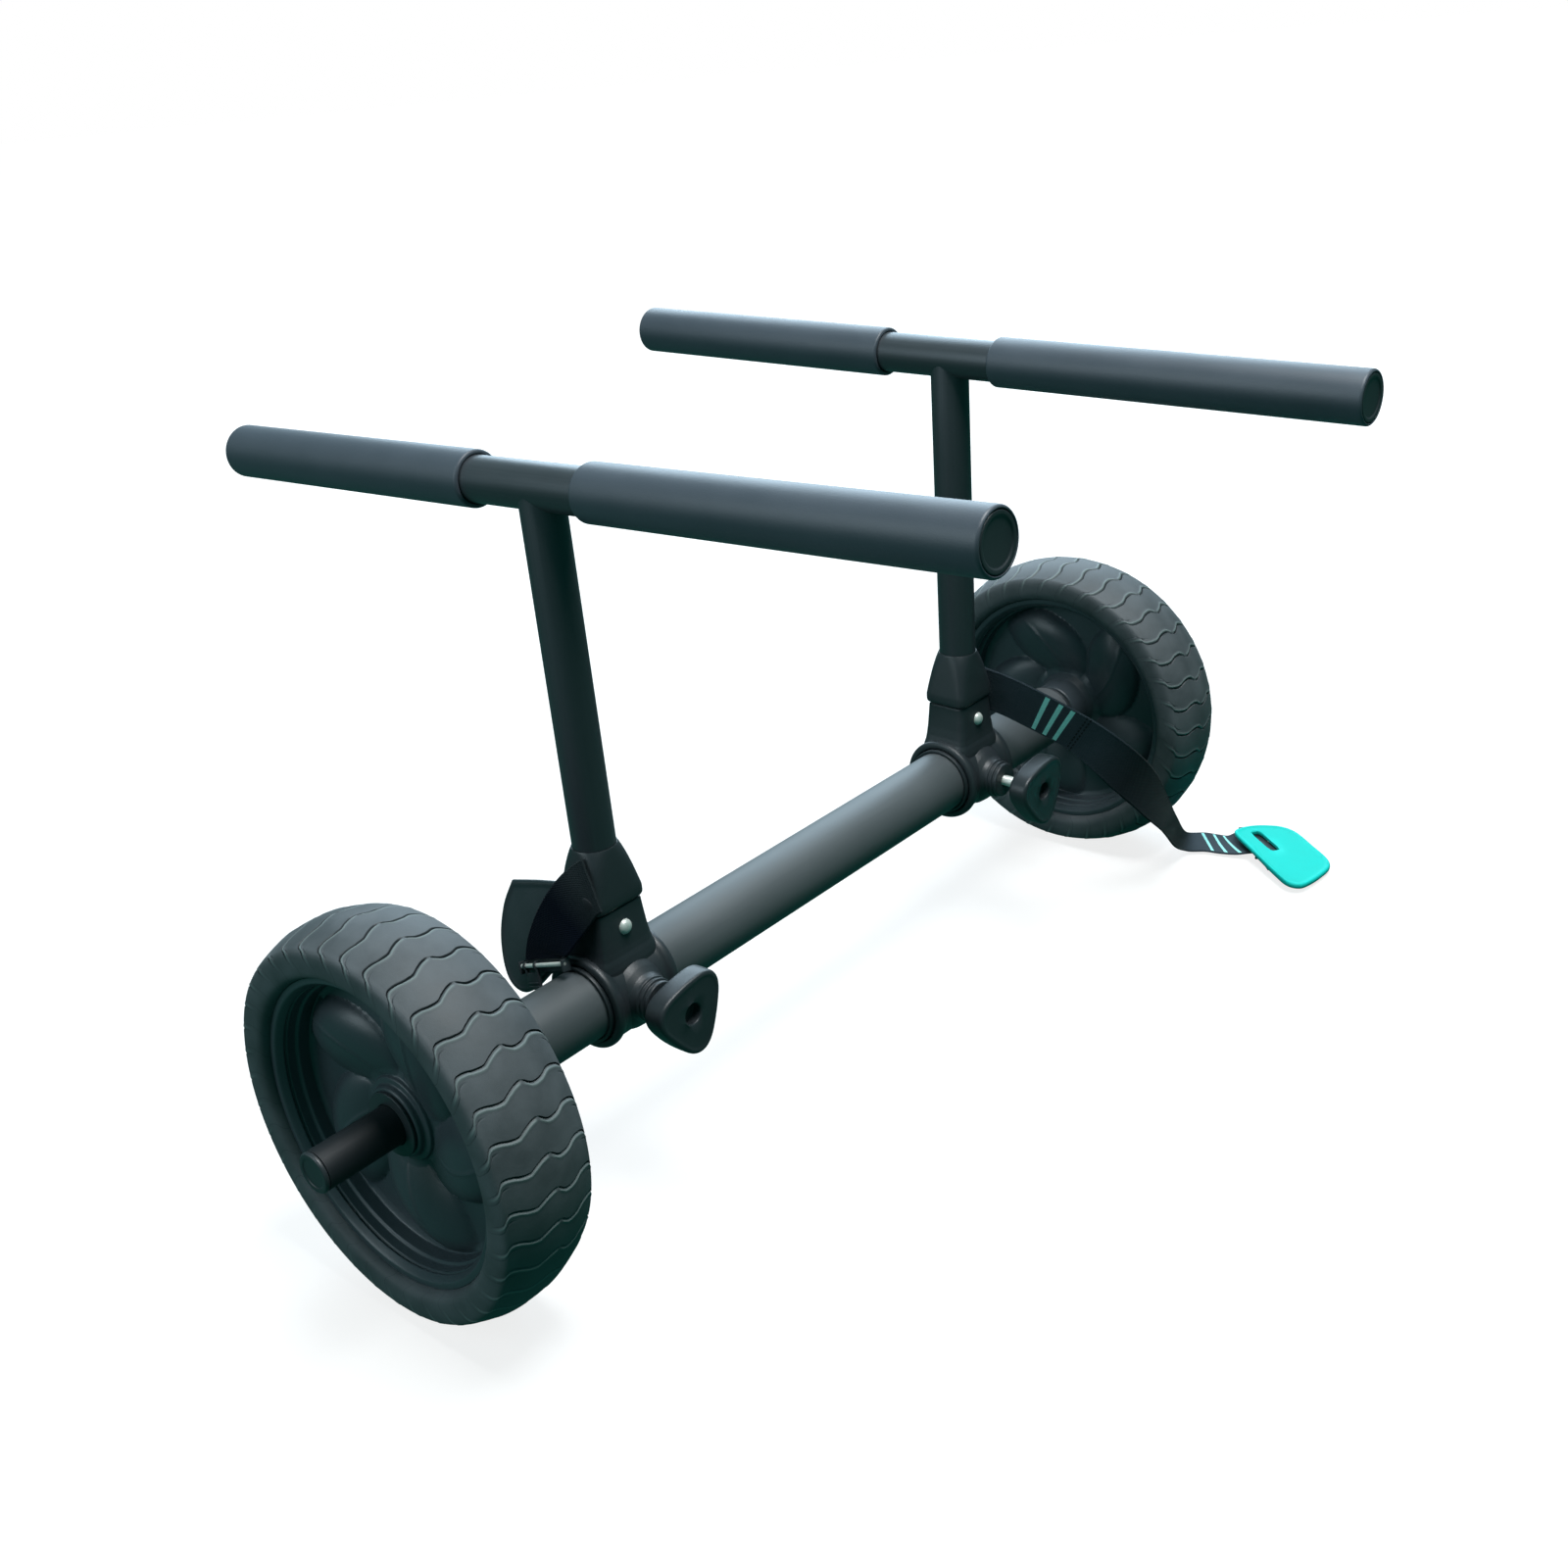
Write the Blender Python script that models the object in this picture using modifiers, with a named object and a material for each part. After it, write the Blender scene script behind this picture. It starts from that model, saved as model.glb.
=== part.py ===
"""Paddleboard cart: a tube axle on two airless wheels, with two clamp-on load bars and tie-down straps.

Units are metres. +Z is up, the axle lies along Y, and the padded load bars lie along X. The origin is on
the ground, under the middle of the load bars. The near side is -Y and the far side is +Y.
"""
import math

import bmesh
import bpy
from mathutils import Matrix, Vector

MM = 0.001
QUARTER = math.pi / 2
FIT_GAP = 0.3 * MM            # clearance between two pieces that touch or run in each other
MERGE = 0.05 * MM

# Wheels
WHEEL_RADIUS = 120 * MM
WHEEL_SETBACK = 35.8 * MM     # wheel's middle plane, beyond the axle tube's end
TYRE_WIDTH = 62 * MM
TYRE_CROWN = 6.7 * MM         # how much lower the tread is at its shoulders
TYRE_DEPTH = 26 * MM
TYRE_BEAD_INSET = 6 * MM      # bead edge, inside the tyre's side plane
RIM_WALL = 7 * MM
RIM_STEP = 4 * MM
RIM_WEB = 6 * MM
HUB_RADIUS = 22 * MM
HUB_BORE_RADIUS = 16 * MM
HUB_FACE = 11.2 * MM          # outer hub face, from the wheel's middle plane

# Axle
AXLE_TUBE_RADIUS = 22.5 * MM
AXLE_TUBE_WALL = 2 * MM
AXLE_TUBE_HALF = 309 * MM
PLUG_DEPTH = 46 * MM
PLUG_FLANGE = 1.7 * MM
SPINDLE_RADIUS = 12 * MM
SPINDLE_WALL = 2 * MM
SPINDLE_REACH = 65.1 * MM     # its cap's face, beyond the wheel's middle plane
CAP_FLANGE = 2.6 * MM
CAP_STEM = 9 * MM
WASHER_RADIUS = 19 * MM
WASHER_THICKNESS = 2 * MM
BUSH_FLANGE_RADIUS = 19.5 * MM
BUSH_FLANGE = 1.9 * MM
BUSH_SLEEVE = 12 * MM
LOCK_BUTTON_RADIUS = 4 * MM
LOCK_BUTTON_PROUD = 3.2 * MM
LOCK_BUTTON_FLANGE = 1.4 * MM
LOCK_BUTTON_ANGLE = math.radians(225)   # behind and below the spindle, seen along +Y from the front

# Clamp collars
SUPPORT_OFFSET = 185.7 * MM   # collar's middle from the cart's middle
SUPPORT_LEAN = math.radians(1.28)       # each collar is turned this far round the axle
LINER_WALL = 2.2 * MM
LINER_HALF = 29 * MM
COLLAR_WALL = 3 * MM
COLLAR_HALF = 26.7 * MM
RIDGE_HEIGHT = 2.2 * MM
RIDGE_WIDTH = 7 * MM
BOSS_RADIUS = 12.5 * MM
BOSS_REACH = 40 * MM          # boss end, from the axle's axis
STUD_RADIUS = 4 * MM
FOOT_LENGTH = 3 * MM
SOCKET_HALF_X = 16 * MM
SOCKET_HALF_Y = 18.5 * MM
SOCKET_WALL = 4 * MM
SOCKET_FLOOR = 33 * MM
SOCKET_TOP = 58 * MM
SNAP_RADIUS = 5 * MM
SNAP_HEIGHT = 45 * MM
SNAP_PROUD = 4 * MM
SNAP_LENGTH = 15 * MM
SNAP_TRAVEL = 3.5 * MM
KNOB_RADIUS = 24.2 * MM
KNOB_LOBE = 3.3 * MM
KNOB_PHASE = math.radians(10)
KNOB_THICKNESS = 15 * MM
KNOB_NECK_RADIUS = 11 * MM
KNOB_NECK = 8 * MM
KNOB_STANDOFF = 4 * MM        # neck to boss with the screw turned right in
KNOB_RECESS_RADIUS = 6.5 * MM
KNOB_RECESS = 7 * MM
KNOB_BACKED_OUT = {"near": 0.0, "far": 8.5 * MM}

# Load supports, measured from the axle's axis
SHOE_TOP = 98 * MM
SHOE_FLARE = 62 * MM
SHOE_RIM = 1.3 * MM
SHOE_OVERHANG = 1.5 * MM
UPRIGHT_RADIUS = 13.4 * MM
UPRIGHT_WALL = 1.6 * MM
BAR_HEIGHT = 315.4 * MM
BAR_RADIUS = 13.9 * MM
BAR_WALL = 1.5 * MM
PAD_RADIUS = 17 * MM
FRONT_PAD = (41 * MM, 302.5 * MM)
REAR_PAD = (52.5 * MM, 288 * MM)
BAR_PLUG_RADIUS = 14.8 * MM
BAR_PLUG_FLANGE = 2.4 * MM
BAR_PLUG_STEM = 14 * MM

# Tie-down straps and buckles
STRAP_WIDTH = 34 * MM
STRAP_THICKNESS = 1.8 * MM
RIVET_HEAD_RADIUS = 5.5 * MM
RIVET_HEAD = 1.6 * MM
RIVET_RADIUS = 2.2 * MM
RIVET_DEPTH = 4 * MM
RIVET_SPOT = {"near": (10.5 * MM, 67 * MM), "far": (0.5 * MM, 64.5 * MM)}    # along X and up from the axle's axis
BUCKLE_HALF_WIDTH = 21 * MM
BUCKLE_CHEEK = 1.6 * MM
BUCKLE_BASE = 1.5 * MM
BUCKLE_DEPTH = 6.9 * MM
BUCKLE_FRONT = 5 * MM
BUCKLE_BACK = {"near": 6 * MM, "far": 11 * MM}
BUCKLE_CHEEK_BACK = {"near": 2.9 * MM, "far": 11 * MM}
BUCKLE_TAIL = {"near": 0.0, "far": 26 * MM}     # how far the base plate runs on beside the cheeks
PIN_RADIUS = 1.4 * MM
PIN_HEIGHT = 4.7 * MM
LEVER_SPAN = (-16.6 * MM, -5 * MM)
LEVER_REACH = (-15 * MM, -4.4 * MM)
LEVER_PLATE = 2 * MM
LEVER_EAR = 1.6 * MM
LEVER_EAR_RADIUS = 2.6 * MM
PAD_PLATE = 4.5 * MM
PIN_SET_BACK = 3.5 * MM       # from the webbing's end to the buckle's pin
PAD_SLOT = (31 * MM, 6 * MM)

# Near strap: (along X, outwards, up) in mm from the collar's middle, and the direction across the webbing
NEAR_ROUTE = (
    ((11.5, 21.2, 67.7), (-0.48, 0, 0.88)),
    ((6, 21.35, 64.5), (-0.64, 0.02, 0.77)),
    ((1.5, 23.4, 60.5), (-0.70, 0.20, 0.68)),
    ((-3, 27.2, 56.3), (-0.76, 0.12, 0.64)),
    ((-10.9, 31.4, 47.8), (-0.86, -0.06, 0.50)),
    ((-15.8, 34.2, 39.5), (-0.97, -0.036, 0.20)),
    ((-19.4, 35.05, 33.6), (-0.98, 0.029, -0.16)),
    ((-20.5, 35.7, 29.8), (-0.955, 0.05, -0.297)),
)
NEAR_PLANE_NORMAL = Vector((0, -0.984, 0.177))
# The pad behind the near buckle: (along X, up its face), in mm, and whether the outline has a corner there
NEAR_PAD_OUTLINE = (
    (-53, 71, True), (-31, 76, False), (-12.5, 79.5, True), (-11.5, 70, False), (-8.8, 56, False),
    (-6, 42, False), (-9, 29, False), (-20, 18, False), (-31, 7, False), (-43, 0, False),
    (-55, 3, False), (-62, 15, False), (-64.5, 34, False), (-61, 54, False),
)

# Far strap: points in mm from the ground under the axle's middle, and the direction across the webbing
FAR_ROUTE = (
    ((-11, 207.2, 185), (0.05, 0, 1.0)),
    ((8, 207.3, 180), (0.1, 0, 1.0)),
    ((28, 212, 172.5), (0.3, 0, 0.95)),
    ((54, 227, 156.5), (0.57, 0.06, 0.82)),
    ((76, 241, 139), (0.6, 0.12, 0.8)),
    ((94, 257, 117), (0.45, 0.45, 0.77)),
    ((105, 278, 90), (0.15, 0.8, 0.55)),
    ((109, 303, 57), (-0.16, 0.97, 0.11)),
    ((106, 320, 40), (-0.22, 0.97, 0.0)),
    ((101, 343, 18), (-0.3, 0.94, 0.0)),
    ((98, 365, 4.5), (-0.4, 0.91, 0.0)),
    ((108, 374, 3), (-0.46, 0.89, 0)),
    ((119, 376.5, 3), (-0.5, 0.87, 0)),
    ((130, 378.5, 4.0), (-0.62, 0.78, 0)),
    ((138.7, 381.0, 7.3), (-0.715, 0.695, 0.068)),
    ((145.7, 388.4, 6.5), (-0.715, 0.695, 0.068)),
)
FAR_PLANE_NORMAL = Vector((-0.122, -0.0285, -0.992))
# The teal pad on the far buckle: (along its slot, towards the strap), in mm from the slot's middle
FAR_PAD_OUTLINE = (
    (-18, 17, False), (-24, 9, False), (-25, -3, False), (-22, -16, False), (-16, -27, False),
    (-4, -33, False), (20, -33, False), (40, -32, False), (51, -26, False), (60, -12, False),
    (67, 3, False), (69, 13, False), (63, 20, False), (48, 21, False), (10, 19, False),
)
FAR_SLOT_ALONG = Vector((0.847, -0.524, -0.089))
FAR_SLOT_MIDDLE = (6.9, -6.3)   # from the far buckle's pin, in mm along X and Y

SIDES = (("near", -1), ("far", 1))
ROUND = 24
SMALL_ROUND = 16
WHEEL_STEPS = 36

AXLE_X = -(FRONT_PAD[1] - REAR_PAD[1]) / 2
AXLE_POINT = Vector((AXLE_X, 0.0, WHEEL_RADIUS))
TYRE_SEAT_RADIUS = WHEEL_RADIUS - TYRE_DEPTH
WHEEL_OFFSET = AXLE_TUBE_HALF + WHEEL_SETBACK
SPINDLE_CAP_FACE = WHEEL_OFFSET + SPINDLE_REACH
LINER_BORE = AXLE_TUBE_RADIUS + FIT_GAP
LINER_RADIUS = LINER_BORE + LINER_WALL
COLLAR_BORE = LINER_RADIUS + FIT_GAP
COLLAR_RADIUS = COLLAR_BORE + COLLAR_WALL
SPINDLE_BORE = SPINDLE_RADIUS - SPINDLE_WALL
PLUG_FACE = AXLE_TUBE_HALF + FIT_GAP + PLUG_FLANGE
WASHER_FACE = PLUG_FACE + FIT_GAP + WASHER_THICKNESS
HUB_INNER = WHEEL_OFFSET - (WASHER_FACE + FIT_GAP + BUSH_FLANGE + FIT_GAP)
LOCK_BUTTON_Y = WHEEL_OFFSET + HUB_FACE + FIT_GAP + BUSH_FLANGE + FIT_GAP + LOCK_BUTTON_RADIUS

PARTS = None
CUTTERS = None


def clear_scene():
    """Remove every object that the new file starts with."""
    for item in list(bpy.data.objects):
        bpy.data.objects.remove(item, do_unlink=True)


def add_collection(name):
    """Make a collection in the scene and return it."""
    group = bpy.data.collections.new(name)
    bpy.context.scene.collection.children.link(group)
    return group


def make_material(name, colour, roughness, metallic=0.0):
    """Return a Principled material with one colour."""
    material = bpy.data.materials.new(name)
    material.use_nodes = True
    shader = material.node_tree.nodes["Principled BSDF"]
    shader.inputs["Base Color"].default_value = (*colour, 1.0)
    shader.inputs["Roughness"].default_value = roughness
    shader.inputs["Metallic"].default_value = metallic
    return material


def make_materials():
    """Return the finishes of the cart, by name."""
    return {
        "tyre": make_material("tyre_rubber", (0.045, 0.05, 0.055), 0.75),
        "rim": make_material("rim_plastic", (0.03, 0.034, 0.038), 0.45),
        "tube": make_material("anodised_tube", (0.04, 0.045, 0.055), 0.35, 0.6),
        "plastic": make_material("moulded_plastic", (0.03, 0.033, 0.037), 0.5),
        "foam": make_material("bar_foam", (0.035, 0.04, 0.05), 0.55),
        "steel": make_material("zinc_steel", (0.75, 0.76, 0.74), 0.3, 1.0),
        "blacked": make_material("blacked_steel", (0.05, 0.052, 0.056), 0.4, 0.9),
        "webbing": make_material("black_webbing", (0.03, 0.035, 0.04), 0.8),
        "teal": make_material("teal_rubber", (0.01, 0.75, 0.68), 0.4),
        "pad": make_material("black_rubber", (0.04, 0.045, 0.05), 0.6),
    }


def add_empty(name, location, rotation=None):
    """Add an empty that carries the pieces of one moving group."""
    empty = bpy.data.objects.new(name, None)
    PARTS.objects.link(empty)
    empty.matrix_world = Matrix.Translation(location) @ (rotation or Matrix()).to_4x4()
    return empty


def add_object(name, mesh, material=None, parent=None, location=(0, 0, 0), rotation=(0, 0, 0)):
    """Link a mesh as a part, or as a hidden cutter when it has no material."""
    item = bpy.data.objects.new(name, mesh)
    if material is None:
        CUTTERS.objects.link(item)
        item.hide_render = True
        item.display_type = "WIRE"
    else:
        PARTS.objects.link(item)
        mesh.materials.append(material)
    item.parent = parent
    item.location = location
    item.rotation_euler = rotation
    return item


def shade_round(item, angle=35):
    """Shade a piece smooth except at its real edges."""
    item.data.shade_smooth()
    item.data.set_sharp_from_angle(angle=math.radians(angle))


def mesh_from(name, bm):
    """Move a bmesh into new mesh data."""
    bmesh.ops.recalc_face_normals(bm, faces=bm.faces)
    mesh = bpy.data.meshes.new(name)
    bm.to_mesh(mesh)
    bm.free()
    return mesh


def box(name, low, high, material=None, parent=None, rotation=(0, 0, 0)):
    """Add a block between two corners in its parent's frame."""
    low, high = Vector(low), Vector(high)
    bm = bmesh.new()
    bmesh.ops.create_cube(bm, size=1.0)
    bmesh.ops.scale(bm, vec=high - low, verts=bm.verts)
    return add_object(name, mesh_from(name, bm), material, parent, (low + high) / 2, rotation)


def rod(name, radius, length, centre, axis="Z", material=None, parent=None, sides=SMALL_ROUND, top=None):
    """Add a cylinder, or a cone with its own top radius, along one axis."""
    turn = {"X": (0, QUARTER, 0), "Y": (-QUARTER, 0, 0), "Z": (0, 0, 0)}[axis]
    bm = bmesh.new()
    bmesh.ops.create_cone(
        bm, cap_ends=True, segments=sides, radius1=radius, radius2=radius if top is None else top, depth=length
    )
    item = add_object(name, mesh_from(name, bm), material, parent, centre, turn)
    if material:
        shade_round(item)
    return item


def turned(name, profile, material, parent, axis="Z", steps=ROUND, closed=True, location=(0, 0, 0)):
    """Add a turned piece. The profile is (radius, height) points that run down the outer side."""
    turn = {"X": (0, QUARTER, 0), "Y": (-QUARTER, 0, 0), "Z": (0, 0, 0)}[axis]
    edges = [(i, i + 1) for i in range(len(profile) - 1)]
    if closed:
        edges.append((len(profile) - 1, 0))
    mesh = bpy.data.meshes.new(name)
    mesh.from_pydata([(radius, 0, height) for radius, height in profile], edges, [])
    item = add_object(name, mesh, material, parent, location, turn)
    screw = item.modifiers.new("turn", "SCREW")
    screw.steps = screw.render_steps = steps
    screw.use_merge_vertices = True
    screw.merge_threshold = MERGE
    screw.use_smooth_shade = True
    return item


def join(item, tool, operation):
    """Cut a piece by a tool, or join the tool to it."""
    change = item.modifiers.new(operation.lower(), "BOOLEAN")
    change.operation = operation
    change.object = tool
    change.solver = "EXACT"


def bevel(item, width, segments=2, angle=40):
    """Round the sharp edges of a piece."""
    change = item.modifiers.new("round", "BEVEL")
    change.width = width
    change.segments = segments
    change.limit_method = "ANGLE"
    change.angle_limit = math.radians(angle)
    change.use_clamp_overlap = True


def smooth_points(points, steps):
    """Return points on a Catmull-Rom curve through the given points, with the given steps per span."""
    ends = [2 * points[0] - points[1], *points, 2 * points[-1] - points[-2]]
    result = []
    for i in range(len(points) - 1):
        a, b, c, d = ends[i:i + 4]
        for k in range(steps):
            t = k / steps
            result.append(
                0.5 * (2 * b + (c - a) * t + (2 * a - 5 * b + 4 * c - d) * t ** 2 + (3 * b - a - 3 * c + d) * t ** 3)
            )
    result.append(points[-1].copy())
    return result


def ribbon(name, route, material, steps=3):
    """Add a strap: a strip along a route with a chosen direction across it, given its thickness."""
    centres = smooth_points([Vector(point) * MM for point, _ in route], steps)
    across = smooth_points([Vector(side).normalized() for _, side in route], steps)
    bm = bmesh.new()
    rows = []
    for centre, side in zip(centres, across):
        half = side.normalized() * STRAP_WIDTH / 2
        rows.append([bm.verts.new(centre + half), bm.verts.new(centre), bm.verts.new(centre - half)])
    for first, second in zip(rows, rows[1:]):
        for k in range(2):
            bm.faces.new((first[k], first[k + 1], second[k + 1], second[k]))
    item = add_object(name, mesh_from(name, bm), material)
    item.data.shade_smooth()
    wall = item.modifiers.new("thickness", "SOLIDIFY")
    wall.thickness = STRAP_THICKNESS
    wall.offset = 0.0
    return item


def ride(item, parent):
    """Parent a piece to an empty and leave it where it is."""
    item.parent = parent
    item.matrix_parent_inverse = parent.matrix_world.inverted()


def side_frame(side):
    """Return the turn that points local +Z outwards along the axle."""
    return Matrix.Rotation(-side * QUARTER, 4, "X")


def tyre_profile():
    """Return the tyre's section: beads, side walls and a crowned tread."""
    half = TYRE_WIDTH / 2
    bead = half - TYRE_BEAD_INSET
    shoulder = WHEEL_RADIUS - TYRE_CROWN
    upper = [
        (TYRE_SEAT_RADIUS, bead),
        (TYRE_SEAT_RADIUS + 2.5 * MM, half - 2.4 * MM),
        (TYRE_SEAT_RADIUS + 5.5 * MM, half - 0.5 * MM),
        (shoulder - 7 * MM, half),
        (shoulder - 3 * MM, half - 1.2 * MM),
        (shoulder, half - 3.6 * MM),
    ]
    tread_half = half - 3.6 * MM
    for share in (0.6, 0.0):
        upper.append((WHEEL_RADIUS - TYRE_CROWN * share ** 2, tread_half * share))
    lower = [(radius, -height) for radius, height in reversed(upper[:-1])]
    return upper + lower


def rim_profile():
    """Return the rim's section: stepped flanges, a closed web deep in the wheel and the hub."""
    seat = TYRE_SEAT_RADIUS - FIT_GAP
    edge = TYRE_WIDTH / 2 - TYRE_BEAD_INSET - FIT_GAP
    barrel = seat - RIM_WALL
    web = RIM_WEB / 2
    hub_foot = HUB_RADIUS + 4 * MM
    outer = [
        (seat, edge),
        (seat, -edge),
        (seat - RIM_STEP, -edge),
        (seat - RIM_STEP, -edge + 3 * MM),
        (barrel, -edge + 5 * MM),
        (barrel - 2 * MM, -web - 3 * MM),
        (barrel - 6 * MM, -web),
        (hub_foot, -web - 2 * MM),
        (HUB_RADIUS, -web - 6 * MM),
        (HUB_RADIUS - 1 * MM, -HUB_INNER),
        (HUB_BORE_RADIUS, -HUB_INNER),
        (HUB_BORE_RADIUS, HUB_FACE),
        (HUB_RADIUS - 1 * MM, HUB_FACE),
        (HUB_RADIUS, HUB_FACE - 1.5 * MM),
        (hub_foot, web + 2 * MM),
        (barrel - 6 * MM, web),
        (barrel - 2 * MM, web + 3 * MM),
        (barrel, edge - 5 * MM),
        (seat - RIM_STEP, edge - 3 * MM),
        (seat - RIM_STEP, edge),
    ]
    return outer


def bush_profile():
    """Return a flanged bush with its flange's outer face at height 0 and its sleeve below."""
    bore = SPINDLE_RADIUS + FIT_GAP
    sleeve = HUB_BORE_RADIUS - FIT_GAP
    return [
        (BUSH_FLANGE_RADIUS, 0),
        (BUSH_FLANGE_RADIUS, -BUSH_FLANGE),
        (sleeve, -BUSH_FLANGE),
        (sleeve, -BUSH_FLANGE - BUSH_SLEEVE),
        (bore, -BUSH_FLANGE - BUSH_SLEEVE),
        (bore, 0),
    ]


def flipped(profile):
    """Return a profile turned end for end, still running down its outer side."""
    return [(radius, -height) for radius, height in reversed(profile)]


def raised(profile, height):
    """Return a profile moved along its axis."""
    return [(radius, level + height) for radius, level in profile]


def build_wheel(name, side, finish):
    """Build one wheel on an empty whose +Z points outwards."""
    centre = AXLE_POINT + Vector((0, side * WHEEL_OFFSET, 0))
    axis = add_empty(f"{name}_wheel_axis", centre, side_frame(side))
    turned(f"{name}_tyre", tyre_profile(), finish["tyre"], axis, steps=WHEEL_STEPS)
    turned(f"{name}_rim", rim_profile(), finish["rim"], axis, steps=WHEEL_STEPS)
    outer = raised(bush_profile(), HUB_FACE + FIT_GAP + BUSH_FLANGE)
    turned(f"{name}_outer_bush", outer, finish["plastic"], axis)
    inner = raised(flipped(bush_profile()), -HUB_INNER - FIT_GAP - BUSH_FLANGE)
    turned(f"{name}_inner_bush", inner, finish["plastic"], axis)


def build_axle_end(name, side, finish):
    """Build the fixed pieces at one end of the axle: plug, spindle, washer and cap."""
    axis = add_empty(f"{name}_axle_end", AXLE_POINT, side_frame(side))
    bore = SPINDLE_RADIUS + FIT_GAP
    plug_radius = AXLE_TUBE_RADIUS - AXLE_TUBE_WALL - FIT_GAP
    plug_start = PLUG_FACE - PLUG_FLANGE - PLUG_DEPTH
    plug = [
        (AXLE_TUBE_RADIUS, PLUG_FACE),
        (AXLE_TUBE_RADIUS, PLUG_FACE - PLUG_FLANGE),
        (plug_radius, PLUG_FACE - PLUG_FLANGE),
        (plug_radius, plug_start),
        (bore, plug_start),
        (bore, PLUG_FACE),
    ]
    turned(f"{name}_axle_plug", plug, finish["plastic"], axis)
    washer = [
        (WASHER_RADIUS, WASHER_FACE),
        (WASHER_RADIUS, WASHER_FACE - WASHER_THICKNESS),
        (bore, WASHER_FACE - WASHER_THICKNESS),
        (bore, WASHER_FACE),
    ]
    turned(f"{name}_thrust_washer", washer, finish["steel"], axis)
    spindle_end = SPINDLE_CAP_FACE - CAP_FLANGE - FIT_GAP
    spindle = [
        (SPINDLE_RADIUS, spindle_end),
        (SPINDLE_RADIUS, plug_start),
        (SPINDLE_BORE, plug_start),
        (SPINDLE_BORE, spindle_end),
    ]
    tube = turned(f"{name}_spindle", spindle, finish["tube"], axis)
    stem = SPINDLE_BORE - FIT_GAP
    cap = [
        (0, SPINDLE_CAP_FACE),
        (SPINDLE_RADIUS - 1 * MM, SPINDLE_CAP_FACE),
        (SPINDLE_RADIUS, SPINDLE_CAP_FACE - 1 * MM),
        (SPINDLE_RADIUS, SPINDLE_CAP_FACE - CAP_FLANGE),
        (stem, SPINDLE_CAP_FACE - CAP_FLANGE),
        (stem, SPINDLE_CAP_FACE - CAP_FLANGE - CAP_STEM),
        (0, SPINDLE_CAP_FACE - CAP_FLANGE - CAP_STEM),
    ]
    turned(f"{name}_spindle_cap", cap, finish["plastic"], axis, closed=False)
    build_lock_button(name, side, tube, finish)


def build_lock_button(name, side, spindle, finish):
    """Build the snap button that keeps a wheel on its spindle, and its hole in the spindle."""
    spot = AXLE_POINT + Vector((0, side * LOCK_BUTTON_Y, 0))
    axis = add_empty(f"{name}_lock_axis", spot, Matrix.Rotation(LOCK_BUTTON_ANGLE, 4, "Y"))
    hole = rod(f"{name}_lock_hole", LOCK_BUTTON_RADIUS + FIT_GAP, 2 * SPINDLE_WALL + 4 * MM,
               (0, 0, SPINDLE_RADIUS), parent=axis)
    join(spindle, hole, "DIFFERENCE")
    inner = SPINDLE_BORE - 1.8 * MM
    top = SPINDLE_RADIUS + LOCK_BUTTON_PROUD
    flange = LOCK_BUTTON_RADIUS + 1.2 * MM
    profile = [
        (0, top),
        (LOCK_BUTTON_RADIUS - 1.2 * MM, top - 0.4 * MM),
        (LOCK_BUTTON_RADIUS, top - 1.6 * MM),
        (LOCK_BUTTON_RADIUS, inner - FIT_GAP),
        (flange, inner - FIT_GAP),
        (flange, inner - FIT_GAP - LOCK_BUTTON_FLANGE),
        (0, inner - FIT_GAP - LOCK_BUTTON_FLANGE),
    ]
    turned(f"{name}_lock_button", profile, finish["steel"], axis, steps=SMALL_ROUND, closed=False)


def build_axle(finish):
    """Build the axle tube and both of its ends."""
    centre = add_empty("axle_middle", AXLE_POINT)
    bore = AXLE_TUBE_RADIUS - AXLE_TUBE_WALL
    profile = [
        (AXLE_TUBE_RADIUS, AXLE_TUBE_HALF),
        (AXLE_TUBE_RADIUS, -AXLE_TUBE_HALF),
        (bore, -AXLE_TUBE_HALF),
        (bore, AXLE_TUBE_HALF),
    ]
    turned("axle_tube", profile, finish["tube"], centre, axis="Y", steps=WHEEL_STEPS)
    for name, side in SIDES:
        build_axle_end(name, side, finish)


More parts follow.
